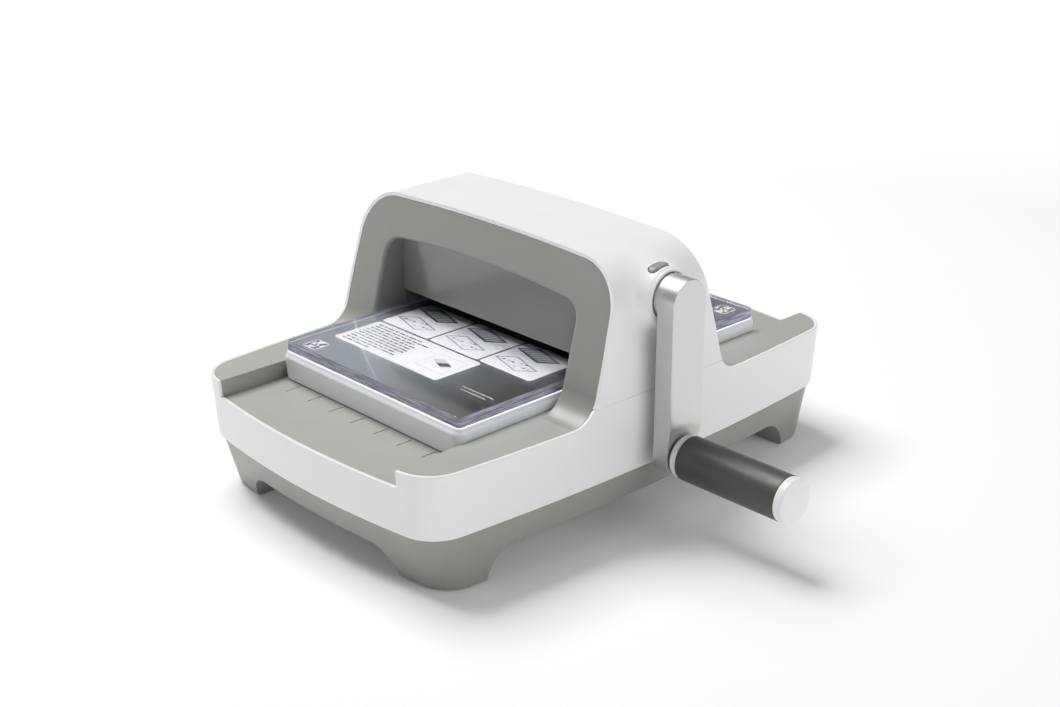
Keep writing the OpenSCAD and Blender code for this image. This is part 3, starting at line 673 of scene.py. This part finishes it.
def foot_pads():
    """Four rubber pads, each wholly under its foot."""
    low, high = size_of("foot_pads")
    outline = rounded_box(FOOT_PAD_HALF_X, FOOT_PAD_HALF_Y, 3.5)
    profile = [(0.4, low.z), (0, low.z + 0.4), (0, high.z)]
    piece = join("foot_pad_set", *(
        plate("foot_pad", lambda inset: outline(inset) + [a * FOOT_PAD_X, b * FOOT_PAD_Y], profile)
        for a, b in CORNERS
    ))
    soften(piece)
    dress(piece, "housing", "foot_rubber", FOOT_RUBBER, "foot_pads")


def rim_height(y):
    """Height of the belt's rim: level, and swept up into the arch's shoulders."""
    y = abs(y)
    if y >= SKIRT_Y:
        return RIM_Z
    rise = SKIRT_Z - math.sqrt(SKIRT_R ** 2 - min(SKIRT_Y - y, SKIRT_R * 0.999) ** 2)
    return min(max(rise + RIM_Z - DECK_Z, RIM_Z), SEAM_Z)


def belt():
    """The white belt, with a slight draft, notched where the channel runs out at each end."""
    levels = np.linspace(0, 1, 7)
    outer, inner = Plan.outline(0), Plan.outline(WALL)
    under = Plan.outline(WALL + BELT_LIP) * TOE_SCALE
    tops = np.array([rim_height(y) for y in outer[:, 1]])
    toe = outer * TOE_SCALE
    rings = [raised(under, BELT_Z)]
    for level in levels:
        z = BELT_Z + (tops - BELT_Z) * level
        share = np.clip((z - BELT_Z) / (RIM_Z - BELT_Z), 0, 1)[:, None]
        rings.append(np.column_stack([toe * (1 - share) + outer * share, z]))
    rings.append(np.column_stack([inner, tops]))
    rings.append(raised(inner * TOE_SCALE, BELT_Z + WALL))
    rings.append(raised(under, BELT_Z + WALL))
    piece = loft("side_belt_moulding", rings, closed=True)
    cut(piece, box((-CHANNEL_HALF, -200, FLOOR_Z + 0.2), (CHANNEL_HALF, 200, 120)))
    soften(piece, 0.9, 3, 40)
    dress(piece, "housing", "white_plastic", WHITE, "side_belt")


def deck():
    """The grey deck: two ledges and the channel between them, with its scale of engraved lines."""
    tray_half = CHANNEL_HALF + WALL
    half = [
        (tray_half, TRAY_LOW_Z), (tray_half, LEDGE_LOW_Z), (120, LEDGE_LOW_Z), (120, DECK_Z),
        (CHANNEL_HALF, DECK_Z), (CHANNEL_HALF, FLOOR_Z),
    ]
    step = half + [(-x, z) for x, z in reversed(half)]
    piece = prism("y", np.array(step), -180, 180)
    piece.name = "deck_moulding"
    cut(piece, prism("z", Plan.outline(WALL + 0.05), 50, 90), operation="INTERSECT")
    marks = [
        box((x - MARK_HALF_X, y - MARK_HALF_Y, FLOOR_Z - 0.5), (x + MARK_HALF_X, y + MARK_HALF_Y, 70))
        for y in (-MARK_Y, MARK_Y)
        for x in np.arange(-3, 4) * MARK_STEP
    ]
    cut(piece, box((-ROLLER_GAP_X, -ROLLER_GAP_Y, 50), (ROLLER_GAP_X, ROLLER_GAP_Y, 70)), *marks)
    soften(piece, 0.28, 2, 40)
    dress(piece, "housing", "grey_plastic", GREY, "deck_tray")


# ---- Arch ----

LINER_GAP = 0.08
SIDE_BLEND, BOSS_BLEND = 1.2, 11.0
BOSS_NEAR_X, BOSS_NEAR_R = 60, 36
BOSS_RELAX_ROUNDS = 40
RING_X = BOSS_X - 4.5
RING_HOLE_R = 7
SHELL_HOLE_R = BOSS_R - 1.2


def skirt_heights(top):
    """Heights up the arch's side to the shoulder, close together where the skirt curves."""
    turn = np.radians(np.linspace(0, 90 - FACE_LEAN, 15))
    skirt = SKIRT_Z - SKIRT_R * np.cos(turn)
    return np.concatenate([skirt, np.linspace(SKIRT_TOP_Z, top, 20)[1:]])


def bezel(name, side, *replaced):
    """The arch's grey face: it sweeps out into the deck and rolls in to the tunnel."""
    inset, lip, edge = 0.25, 2.2, 0.5
    out = mirrored(portal_half(*ARCH, ARCH_LEAN, WALL + 0.02, skirt_heights(ARCH_CZ)))
    inner = mirrored(portal_half(*OPENING, 0, LINER_GAP, skirt_heights(OPEN_CZ)))
    sections = []
    for (xo, zo), (xi, zi) in zip(out, inner):
        limit = float(Plan.half_width(face_at(zo)[0], WALL + 0.02))
        start = np.array([math.copysign(min(abs(xo), limit), xo) if xo else 0.0, zo])
        end = np.array([xi, zi])
        span = end - start
        reach = np.linalg.norm(span)
        e = span / reach

        def at(distance, sink):
            """A point at a distance across the face and a depth under it."""
            x, z = start + e * distance
            y, (ny, nz) = face_at(z, inset)
            return [x, y - sink * ny, z - sink * nz]

        row = [at(0, 3.0), at(0, edge), at(edge * 0.3, edge * 0.3), at(edge, 0)]
        row += [at(edge + (reach - lip - edge) * f, 0) for f in np.linspace(0, 1, 9)[1:]]
        for a in np.radians(np.linspace(0, 90, 7)[1:]):
            row.append(at(reach - lip + lip * math.sin(a), lip * (1 - math.cos(a))))
        wall_y = max(row[-1][1], TUNNEL_Y + 1)
        wall_z = row[-1][2]
        for f in (0.35, 0.7):
            row.append([end[0], wall_y + (TUNNEL_Y + 0.5 - wall_y) * f, wall_z + (zi - wall_z) * f])
        row.append([end[0], TUNNEL_Y + 0.5, zi])
        under_face = max(row[9][1] - 6, TUNNEL_Y + 0.6)
        for away, y in ((0.5, TUNNEL_Y), (2, TUNNEL_Y), (2, under_face)):
            x, z = end - e * away
            row.append([x, y, z])
        sections.append(np.array(row) * [1, side, 1])
    piece = loft(name, sections)
    soften(piece)
    dress(piece, "housing", "grey_plastic", BEZEL_GREY_PAINTED_SHADE, *replaced)


def smooth_least(a, b, reach):
    """The smaller of a and b, rounded where they are within reach of each other."""
    h = np.clip(0.5 + 0.5 * (b - a) / reach, 0, 1)
    return b + (a - b) * h - reach * h * (1 - h)


def outside_boss(p):
    """Distance outside the arch's right shoulder with the boss blended into it."""
    x, y, z = p[:, 0], p[:, 1], p[:, 2]
    s, c = math.sin(math.radians(ARCH_LEAN)), math.cos(math.radians(ARCH_LEAN))
    side = (x - ARCH_CX) * c + (z - ARCH_CZ) * s - ARCH_R
    round_part = np.hypot(x - ARCH_CX, z - ARCH_CZ) - ARCH_R
    crown_z = ARCH_TOP_Z - ARCH_CROWN_R
    crown = np.hypot(x, z - crown_z) - ARCH_CROWN_R
    shoulder = np.where((z - ARCH_CZ) * c > (x - ARCH_CX) * s, round_part, side)
    shoulder = np.where(x * (ARCH_CZ - crown_z) < (z - crown_z) * ARCH_CX, crown, shoulder)
    shoulder = -smooth_least(-shoulder, -(x - Plan.half_width(y)), SIDE_BLEND)
    boss = np.hypot(y, z - CRANK_Z) - (BOSS_R - 0.1)
    return np.maximum(smooth_least(shoulder, boss, BOSS_BLEND), x - (BOSS_X - 0.35))


def onto_surface(p, rounds):
    """Moves points along the distance's slope until they lie on the surface."""
    step = 1e-3
    for _ in range(rounds):
        d = outside_boss(p)
        slope = np.stack([
            (outside_boss(p + step * axis) - outside_boss(p - step * axis)) / (2 * step)
            for axis in np.eye(3)
        ], 1)
        slope /= np.maximum(np.linalg.norm(slope, axis=1, keepdims=True), 1e-6)
        p = p - slope * d[:, None]
    return p


def arch_skin():
    """Grid of the cover's outer surface: rows over the arch, columns from the front to the rear."""
    zs = SEAM_Z + (ARCH_CZ - SEAM_Z) * np.linspace(0, 1, 44)
    outline = mirrored(portal_half(*ARCH, ARCH_LEAN, 0, zs, 48, 26))
    across = np.linspace(-1, 1, 89)
    rows = []
    for x, z in outline:
        y = across * face_at(z)[0]
        xs = np.full(len(y), x)
        if abs(x) > HALF_W - 6:
            xs = np.sign(x) * smooth_least(np.abs(xs), Plan.half_width(y), SIDE_BLEND)
        rows.append(np.stack([xs, y, np.full(len(y), z)], 1))
    return np.array(rows)


def arch():
    """The white cover: one shell over the arch, drawn out into the crank's boss."""
    grid = arch_skin()
    rows, columns = grid.shape[:2]
    from_boss = np.hypot(grid[..., 1], grid[..., 2] - CRANK_Z)
    near = (grid[..., 0] > BOSS_NEAR_X) & (from_boss < BOSS_NEAR_R)
    near[[0, -1], :] = near[:, [0, -1]] = False
    for _ in range(BOSS_RELAX_ROUNDS):
        pulled = grid.copy()
        pulled[1:-1, 1:-1] = (grid[:-2, 1:-1] + grid[2:, 1:-1] + grid[1:-1, :-2] + grid[1:-1, 2:]) / 4
        grid[near] = onto_surface(pulled[near], 2)
    grid[near] = onto_surface(grid[near], 6)
    faces = []
    for i in range(rows - 1):
        for k in range(columns - 1):
            middle = (grid[i, k] + grid[i + 1, k] + grid[i, k + 1] + grid[i + 1, k + 1]) / 4
            if middle[0] > BOSS_X - 4 and math.hypot(middle[1], middle[2] - CRANK_Z) < SHELL_HOLE_R:
                continue
            a = i * columns + k
            faces.append((a, a + 1, a + columns + 1, a + columns))
    shell = make("arch_cover_shell", grid.reshape(-1, 3), faces)
    face = shell.data.polygons[0]
    inwards = -1 if face.normal.x * face.center.x >= 0 else 1
    thick = shell.modifiers.new("thick", "SOLIDIFY")
    thick.thickness = (WALL - 0.05) * MM
    thick.offset = inwards
    thick.use_even_offset = True
    settle(shell)
    cut(shell, prism("z", button_outline(BUTTON_GAP), 130, 175))
    soften(shell, 0.5, 3, 50)
    ring = lathe("boss_ring", rounded_profile(
        [
            (RING_X, BOSS_R - 0.8), (BOSS_X, BOSS_R - 0.4), (BOSS_X, RECESS_R),
            (BOSS_X - RECESS_DEPTH, RECESS_R), (BOSS_X - RECESS_DEPTH, RING_HOLE_R),
            (RING_X, RING_HOLE_R), (RING_X, BOSS_R - 0.8),
        ],
        [0, 0.9, 0.4, 0.3, 0.3, 0, 0],
    ), CRANK_Z)
    for face in ring.data.polygons:
        face.use_smooth = True
    ring.data.set_sharp_from_angle(angle=math.radians(SHARP_ANGLE))
    piece = join("arch_cover_moulding", shell, ring)
    dress(piece, "housing", "white_plastic", WHITE, "arch_cover")


# ---- Release button ----

BUTTON_TOP_Z = size_of("release_button")[1].z
BUTTON_AT = (108.7, -1.9)
BUTTON_HALF_X, BUTTON_HALF_Y = 2.7, 6.9
BUTTON_GAP = 0.45
BUTTON_LOW_R = 14.6


def button_outline(grow):
    """The button's long round-ended outline, grown by a clearance."""
    r = BUTTON_HALF_X + grow
    half_straight = BUTTON_HALF_Y - BUTTON_HALF_X
    rear = arc(0, half_straight, r, 0, 180, 12)
    front = arc(0, -half_straight, r, 180, 360, 12)
    return np.concatenate([rear, front]) + BUTTON_AT


def button():
    """The grey release button: a curved cap with soft edges."""
    rings = []
    top_r = BUTTON_TOP_Z - CRANK_Z
    corners = [(0.3, BUTTON_LOW_R), (0, BUTTON_LOW_R), (0, top_r), (2.6, top_r)]
    for inset, r in rounded_profile(corners, [0, 0, 1.2, 0]):
        flat = button_outline(-inset)
        z = CRANK_Z + np.sqrt(np.maximum(r * r - flat[:, 1] ** 2, 1))
        rings.append(np.column_stack([flat, z]))
    piece = loft("release_button_cap", rings)
    soften(piece)
    dress(piece, "button", "button_grey", BUTTON_GREY, "release_button")


# ---- Platform ----

def slab():
    """The white platform, with a step and a bevel round its top."""
    outline = rounded_box(SLAB_HIGH.x, SLAB_HIGH.y, 6, 12)
    top, low = SLAB_HIGH.z, size_of("platform_sole")[0].z
    profile = rounded_profile(
        [(9, low), (0.8, low), (0.0, top - 3.2), (1.1, top - 1.4), (1.4, top), (9, top)],
        [0, 0.6, 0.9, 0.5, 0.5, 0],
    )
    piece = plate("platform_slab", outline, profile)
    soften(piece)
    dress(piece, "platform", "white_plastic", SLAB_WHITE, "platform_top", "platform_sole")


def pad(name, low_z, high_z, replaced):
    """One clear pad with a polished chamfer."""
    outline = rounded_box(PAD_HIGH.x, PAD_HIGH.y, 3, 8)
    profile = rounded_profile([(3, low_z), (0, low_z), (0, high_z), (3, high_z)], [0, 0.35, 0.35, 0])
    piece = plate(name, outline, profile)
    soften(piece)
    dress(piece, "platform", "clear_pad", CLEAR, replaced)


# ---- Printed card ----

# The print's layers, from the white panels up; each one a little thicker than the one it crosses
PRINT_Z = CARD_HIGH.z - 0.09
PANEL_T, TINT_T, HALF_TONE_T, INK_T = 0.03, 0.02, 0.03, 0.04

PANEL_XS = (-47.0, -2.5, 42.0)
PANEL_Y, PANEL_HALF_X, PANEL_HALF_Y = -37.0, 21.3, 19.5
LEAF_U, LEAF_V = (10.9, 9.0), (24.8, -7.6)
TEXT_X, TEXT_Y, TEXT_HALF_X, TEXT_HALF_Y = -21.0, -76.3, 46.8, 17.6
LINE_LENGTHS = (39, 44, 42, 45, 40, 44, 43, 38, 41, 24)
LINE_STEP, WORD_STEP, WORD_GAP, WORD_HALF_Y = 3.1, 0.85, 0.9, 0.7
WORDS = (5, 3, 7, 4, 6, 2, 8, 5, 3, 6, 4)
INSET_X, INSET_Y = TEXT_X + 31, TEXT_Y + 0.6
SQUARE_X, SQUARE_Y, SQUARE_HALF = -63.5, -110.0, 6.0
CELL, CELL_HALF = 1.5, 0.7


class Sheet:
    """One layer of the print: flat shapes at one end of the card, and the same turned round."""

    def __init__(self, name, z, thickness):
        self.name, self.levels = name, (z, z + thickness)
        self.outlines = []

    def bar(self, x, y, half_x, half_y):
        """A rectangle."""
        self.outlines.append([(x + a * half_x, y + b * half_y) for a, b in CORNERS])

    def panel(self, x, y, half_x, half_y):
        """A rectangle with round corners."""
        self.outlines.append(rounded_box(half_x, half_y, 2.0, 5)(0) + [x, y])

    def leaf(self, x, y, u, v, share_u, share_v):
        """A part of the parallelogram with sides u and v round (x, y)."""
        (u0, u1), (v0, v1) = share_u, share_v
        corners = ((u0, v0), (u1, v0), (u1, v1), (u0, v1))
        self.outlines.append([(x + a * u[0] + b * v[0], y + a * u[1] + b * v[1]) for a, b in corners])

    def leaf_edges(self, x, y, u, v, line_u, line_v):
        """The four edges of such a parallelogram."""
        for low, high in ((-0.5, line_u - 0.5), (0.5 - line_u, 0.5)):
            self.leaf(x, y, u, v, (low, high), (-0.5, 0.5))
        for low, high in ((-0.5, line_v - 0.5), (0.5 - line_v, 0.5)):
            self.leaf(x, y, u, v, (line_u - 0.5, 0.5 - line_u), (low, high))

    def build(self, material):
        """The piece, with both ends."""
        points, faces = [], []
        for outline in [np.array(o) * turned for turned in (1, -1) for o in self.outlines]:
            n, first = len(outline), len(points)
            for z in self.levels:
                points += [(x, y, z) for x, y in outline]
            low, high = range(first, first + n), range(first + n, first + 2 * n)
            faces += [tuple(low)[::-1], tuple(high)]
            faces += [(low[k], low[(k + 1) % n], high[(k + 1) % n], high[k]) for k in range(n)]
        piece = make(self.name, points, faces)
        dress(piece, "platform", "printed_card", material)


def card():
    """The printed card: a dark ground, white panels, plain pictures and bars, and no lettering."""
    ground = plate(
        "card_sheet", rounded_box(CARD_HIGH.x, CARD_HIGH.y, 2.5),
        [(0, CARD_LOW.z + 0.02), (0, CARD_HIGH.z - 0.1)],
    )
    dress(ground, "platform", "printed_card", CARD_GROUND, "instruction_card")
    white = Sheet("card_panels", PRINT_Z, PANEL_T)
    ink = Sheet("card_line_work", PRINT_Z + PANEL_T, INK_T)
    tint = Sheet("card_tinted_work", PRINT_Z + PANEL_T, TINT_T)
    half_tone = Sheet("card_half_tones", PRINT_Z + PANEL_T, HALF_TONE_T)
    for x in PANEL_XS:
        draw_step(x, white, ink, tint, half_tone)
    draw_text(white, ink, half_tone)
    draw_square(white, ink)
    for line in range(2):
        white.bar(55, -88 - line * 3.4, 13 - line * 3, 0.22)
    white.build(CARD_WHITE)
    ink.build(CARD_INK)
    tint.build(CARD_TINT)
    half_tone.build(CARD_HALF_TONE)


def draw_step(x, white, ink, tint, half_tone):
    """One step's picture: a dark leaf with ribs over a pale leaf with marks."""
    white.panel(x, PANEL_Y, PANEL_HALF_X, PANEL_HALF_Y)
    die = (x - 2.4, PANEL_Y + 10.3, LEAF_U, LEAF_V)
    ink.leaf_edges(*die, 0.15, 0.075)
    half_tone.leaf(*die, (-0.35, 0.35), (-0.425, 0.425))
    for k in range(6):
        share = -0.36 + k * 0.13
        ink.leaf(*die, (-0.33, 0.33), (share, share + 0.035))
    paper = (x - 2.6, PANEL_Y - 7.4, LEAF_U, LEAF_V)
    tint.leaf_edges(*paper, 0.11, 0.055)
    for k in range(8):
        a, b = (k * 5 % 7 - 3) * 0.10, (k * 3 % 8 - 3.5) * 0.10
        (ink, tint)[k % 2].leaf(*paper, (a, a + 0.13), (b, b + 0.07))


def draw_text(white, ink, half_tone):
    """The wide panel: lines of bars that stand for words, and a framed picture of two leaves."""
    white.panel(TEXT_X, TEXT_Y, TEXT_HALF_X, TEXT_HALF_Y)
    start_x, start_y = TEXT_X - TEXT_HALF_X + 4, TEXT_Y + TEXT_HALF_Y - 3.6
    for line, line_length in enumerate(LINE_LENGTHS):
        x, end_x = start_x, start_x + line_length
        word = line * 4
        while x < end_x:
            length = WORDS[word % len(WORDS)] * WORD_STEP
            ink.bar(x + length / 2, start_y - line * LINE_STEP, length / 2, WORD_HALF_Y)
            x += length + WORD_GAP
            word += 1
    whole = ((-0.5, 0.5), (-0.5, 0.5))
    half_tone.leaf_edges(INSET_X, INSET_Y, (0, 21), (24, 0), 0.025, 0.02)
    half_tone.leaf(INSET_X - 0.1, INSET_Y + 0.8, (5.7, 4.5), (13.1, -5.5), *whole)
    ink.leaf(INSET_X + 2.4, INSET_Y, (5.7, 4.5), (5.0, -2.1), *whole)


def draw_square(white, ink):
    """The small square with a plain pattern of 7 by 7 cells, which codes nothing."""
    white.panel(SQUARE_X, SQUARE_Y, SQUARE_HALF, SQUARE_HALF)
    for k in range(49):
        row, column = divmod(k, 7)
        if (k * k + row * 3) % 5 < 3:
            x, y = SQUARE_X + (column - 3) * CELL, SQUARE_Y + (row - 3) * CELL
            ink.bar(x, y, CELL_HALF, CELL_HALF)


# ---- Crank and grip ----

ARM_BACK_X, ARM_BEVEL = 119, 0.7
HUB_HOLE_R = 6.2
SLEEVE_T = 2.2
CAP_DOME_R, CAP_DOME_DEPTH = 11.4, 0.95


def stadium(inset, steps=40):
    """The arm's outline in (y, z), from the right of its top round to the start."""
    r = max(ARM_R - inset, 0)
    top = arc(0, CRANK_Z, r, 0, 180, steps)
    low = arc(0, GRIP_Z, r, 180, 360, steps)
    sides = np.linspace(CRANK_Z, GRIP_Z, 47)[1:-1]
    left = np.stack([np.full(len(sides), -r), sides], 1)
    right = np.stack([np.full(len(sides), r), sides[::-1]], 1)
    return np.concatenate([top, left, low, right])


def arm_face(outline):
    """Height of the arm's outer face: flat, and dished round the grip's root."""
    r = np.hypot(outline[:, 0], outline[:, 1] - GRIP_Z)
    dish = ARM_HIGH.x - DISH_DEPTH + DISH_R - np.sqrt(DISH_R ** 2 - np.minimum(r, DISH_R - 1) ** 2)
    return np.minimum(ARM_HIGH.x, dish)


def crank_arm():
    """The flat silver arm, its hub and the dish round the grip's root."""
    rings = []
    back = [(ARM_R, ARM_BACK_X), (0, ARM_BACK_X), (0, ARM_BACK_X + 2)]
    for inset, x in rounded_profile(back, [0, 0.25, 0]):
        flat = stadium(inset)
        rings.append(np.column_stack([np.full(len(flat), x), flat]))
    for inset, under in ((0, ARM_BEVEL), (ARM_BEVEL * 0.3, ARM_BEVEL * 0.3), (ARM_BEVEL, 0)):
        flat = stadium(inset)
        rings.append(np.column_stack([arm_face(flat) - under, flat]))
    for inset in np.linspace(1.6, ARM_R, 12):
        flat = stadium(inset)
        rings.append(np.column_stack([arm_face(flat), flat]))
    arm = loft("arm", rings, caps=False)
    soften(arm)
    hub_x = ARM_BACK_X + 1.2
    hub = turned_part(
        "hub", [(ARM_LOW.x, HUB_HOLE_R), (ARM_LOW.x, ARM_R), (hub_x, ARM_R), (hub_x, HUB_HOLE_R)],
        [0, 0.5, 0, 0], CRANK_Z, HUB_TURN,
    )
    piece = join("crank_arm_casting", arm, hub)
    dress(piece, "crank", "crank_silver", SILVER, "crank_arm")


def grip():
    """The grip: a dark sleeve between a white collar and a slightly domed end cap."""
    x0, x1 = SLEEVE_LOW.x, SLEEVE_HIGH.x
    inner_r = GRIP_R - SLEEVE_T
    sleeve = turned_part(
        "grip_sleeve_moulding",
        [(x0 + 0.05, inner_r), (x0 + 0.05, GRIP_R), (x1 - 0.05, GRIP_R), (x1 - 0.05, inner_r)],
        [0, 0.6, 0.6, 0], GRIP_Z, FINE_TURN,
    )
    dress(sleeve, "grip", "grip_rubber", SLEEVE_RUBBER, "grip_sleeve")
    collar = turned_part(
        "grip_collar_ring",
        [(COLLAR_X + 0.4, 5.2), (COLLAR_X, 11.0), (COLLAR_X + 1.4, GRIP_R - 0.5),
         (x0, GRIP_R - 0.5), (x0, 5.2)],
        [0, 0.6, 0.7, 0.3, 0], GRIP_Z, FINE_TURN,
    )
    dress(collar, "grip", "white_plastic", WHITE, "grip_collar")
    dome = [
        (CAP_X - CAP_DOME_DEPTH * (r / CAP_DOME_R) ** 2, r)
        for r in np.linspace(CAP_DOME_R, 0.05, 9)
    ]
    cap = lathe("grip_end_cap_moulding", [
        (x1, 8.7), *rounded_profile(
            [(x1, GRIP_R - 0.6), (x1, GRIP_R - 0.2), (CAP_X - 1.2, GRIP_R - 0.25), dome[0]],
            [0, 0.2, 1.0, 0],
        ), *dome[1:],
    ], GRIP_Z, FINE_TURN)
    soften(cap)
    dress(cap, "grip", "white_plastic", WHITE, "grip_end_cap")


# ---- Pieces that keep their CAD shape ----

CAD_LOOKS = [
    (DARK_GREY, 0.5, ["front_roller_cover", "rear_roller_cover", "left_liner", "right_liner"]),
    (WHITE, 0.0, ["button_guide"]),
    (STEEL, 0.2, [
        "left_frame_plate", "right_frame_plate", "tie_bars", "gear_bracket", "bracket_posts",
        "pinion_shaft", "crank_stub", "grip_spindle", "latch_plate", "button_springs",
    ]),
    (DARK_STEEL, 0.0, [
        "frame_screws", "base_screws", "deck_screws", "upper_roller_clips", "lower_roller_clips",
        "pinion_clip",
    ]),
    (BRONZE, 0.2, [
        "upper_left_bush", "upper_right_bush", "lower_left_bush", "lower_right_bush",
        "crank_inner_bush", "crank_outer_bush",
    ]),
    (ROLLER_STEEL, 0.3, ["upper_roller", "lower_roller"]),
    (NYLON, 0.0, ["upper_sync_gear", "lower_sync_gear", "drive_gear", "grip_core"]),
]


def keep_cad(node, material, width):
    """A CAD node's own shape with clean shading, and with its edges rounded where width says."""
    piece = nodes[node]
    piece.data.materials.clear()
    piece.data.materials.append(material)
    weld = piece.modifiers.new("weld", "WELD")
    weld.merge_threshold = 0.002 * MM
    flat = piece.modifiers.new("flat", "DECIMATE")
    flat.decimate_type = "DISSOLVE"
    flat.angle_limit = math.radians(1)
    if width:
        round_edges(piece, width, 2, 40)
    split = piece.modifiers.new("split", "EDGE_SPLIT")
    split.split_angle = math.radians(32)


# ---- Floor, light and camera ----

CAMERA_PLACE = (0.6362, -0.6449, 0.4501)
CAMERA_AZIMUTH, CAMERA_ELEVATION = 46.56, 22.12
CAMERA_LENS, SENSOR_W = 56.34, 36

FLOOR_HALF = 30.0
FLOOR_GLOW = (0.06, 1.3)
FLOOR_GLOW_FROM, FLOOR_GLOW_TO = 0.7, 2.4
AROUND_STRENGTH, BACKDROP_STRENGTH = 0.24, 1.3
LAMP_TARGET = (0, 0, 0.08)
LAMP_SIZE = 1.3
KEY_PLACE, KEY_POWER = (-1.05, -0.1, 2.0), 60
FILL_PLACE, FILL_POWER = (2.2, 0.4, 1.0), 15.5
WHITE_LEVEL = 1.25
TONES = ((0.2, 0.2), (0.4, 0.4), (0.66, 0.66), (0.98, 0.85))


def stage():
    """A plain pale floor that glows: faintly near the machine, which lightens the shadows on it, and
    up to white a long way from the machine.
    """
    mesh = bpy.data.meshes.new("floor")
    mesh.from_pydata([(a * FLOOR_HALF, b * FLOOR_HALF, 0) for a, b in CORNERS], [], [(0, 1, 2, 3)])
    floor = add_object("floor", mesh)
    n = Nodes("floor")
    n.shader.inputs["Base Color"].default_value = (0.95, 0.95, 0.95, 1)
    n.shader.inputs["Emission Color"].default_value = (1, 1, 1, 1)
    n.shader.inputs["Roughness"].default_value = 0.85
    n.shader.inputs["Specular IOR Level"].default_value = 0.1
    far_off = n.add("VectorMath", operation="LENGTH")
    n.link(n.add("NewGeometry").outputs["Position"], far_off.inputs[0])
    # Painted light: the floor's glow rises from faint near the machine to white far off
    glow = n.remap(far_off.outputs["Value"], FLOOR_GLOW_FROM, FLOOR_GLOW_TO, *FLOOR_GLOW)
    n.feed(glow, "Emission Strength")
    mesh.materials.append(n.material)


def aim(thing, place, direction):
    """Puts a lamp or a camera at a place, facing a direction."""
    thing.location = place
    thing.rotation_mode = "QUATERNION"
    thing.rotation_quaternion = direction.to_track_quat("-Z", "Y")


def soft_light(name, place, power):
    """A square lamp that faces the machine."""
    data = bpy.data.lights.new(name, "AREA")
    data.size = LAMP_SIZE
    data.energy = power
    aim(add_object(name, data), place, Vector(LAMP_TARGET) - Vector(place))


def light():
    """A key from the left, a fill from the right, and an even surround under a white backdrop."""
    world = bpy.data.worlds.new("studio")
    world.use_nodes = True
    tree = world.node_tree
    around = tree.nodes["Background"]
    backdrop = tree.nodes.new("ShaderNodeBackground")
    for node, strength in ((around, AROUND_STRENGTH), (backdrop, BACKDROP_STRENGTH)):
        node.inputs["Color"].default_value = (1, 1, 1, 1)
        node.inputs["Strength"].default_value = strength
    seen = tree.nodes.new("ShaderNodeMixShader")
    path = tree.nodes.new("ShaderNodeLightPath")
    tree.links.new(path.outputs["Is Camera Ray"], seen.inputs["Fac"])
    tree.links.new(around.outputs["Background"], seen.inputs[1])
    tree.links.new(backdrop.outputs["Background"], seen.inputs[2])
    tree.links.new(seen.outputs["Shader"], tree.nodes["World Output"].inputs["Surface"])
    bpy.context.scene.world = world
    soft_light("key", KEY_PLACE, KEY_POWER)
    soft_light("side_fill", FILL_PLACE, FILL_POWER)


def soft_whites():
    """Lets tones above the white sides run gently up to the floor's white, as in a print."""
    view = bpy.context.scene.view_settings
    view.view_transform = "Standard"
    view.use_curve_mapping = True
    tones = view.curve_mapping
    tones.white_level = (WHITE_LEVEL,) * 3
    for light_in, light_out in TONES:
        tones.curves[3].points.new(light_in / WHITE_LEVEL, light_out)
    for point in tones.curves[3].points:
        point.handle_type = "AUTO_CLAMPED"
    tones.update()


def camera():
    """The photo's camera."""
    data = bpy.data.cameras.new("camera")
    data.lens = CAMERA_LENS
    data.sensor_width = SENSOR_W
    eye = add_object("camera", data)
    a, e = math.radians(CAMERA_AZIMUTH), math.radians(CAMERA_ELEVATION)
    back = Vector((math.sin(a) * math.cos(e), -math.cos(a) * math.cos(e), math.sin(e)))
    aim(eye, CAMERA_PLACE, -back)
    bpy.context.scene.camera = eye


# ---- The whole machine ----

camera()
light()
stage()
soft_whites()

base()
foot_pads()
belt()
deck()
bezel("front_bezel_moulding", -1, "front_bezel")
bezel("rear_bezel_moulding", 1, "rear_bezel")
arch()
button()
slab()
pad("lower_clear_pad", PAD_LOW.z + 0.02, PAD_HIGH.z - 0.04, "lower_pad")
pad("upper_clear_pad", PAD_HIGH.z + 0.04, UPPER_PAD_HIGH.z, "upper_pad")
card()
crank_arm()
grip()
for material, width, kept in CAD_LOOKS:
    for node in kept:
        keep_cad(node, material, width)
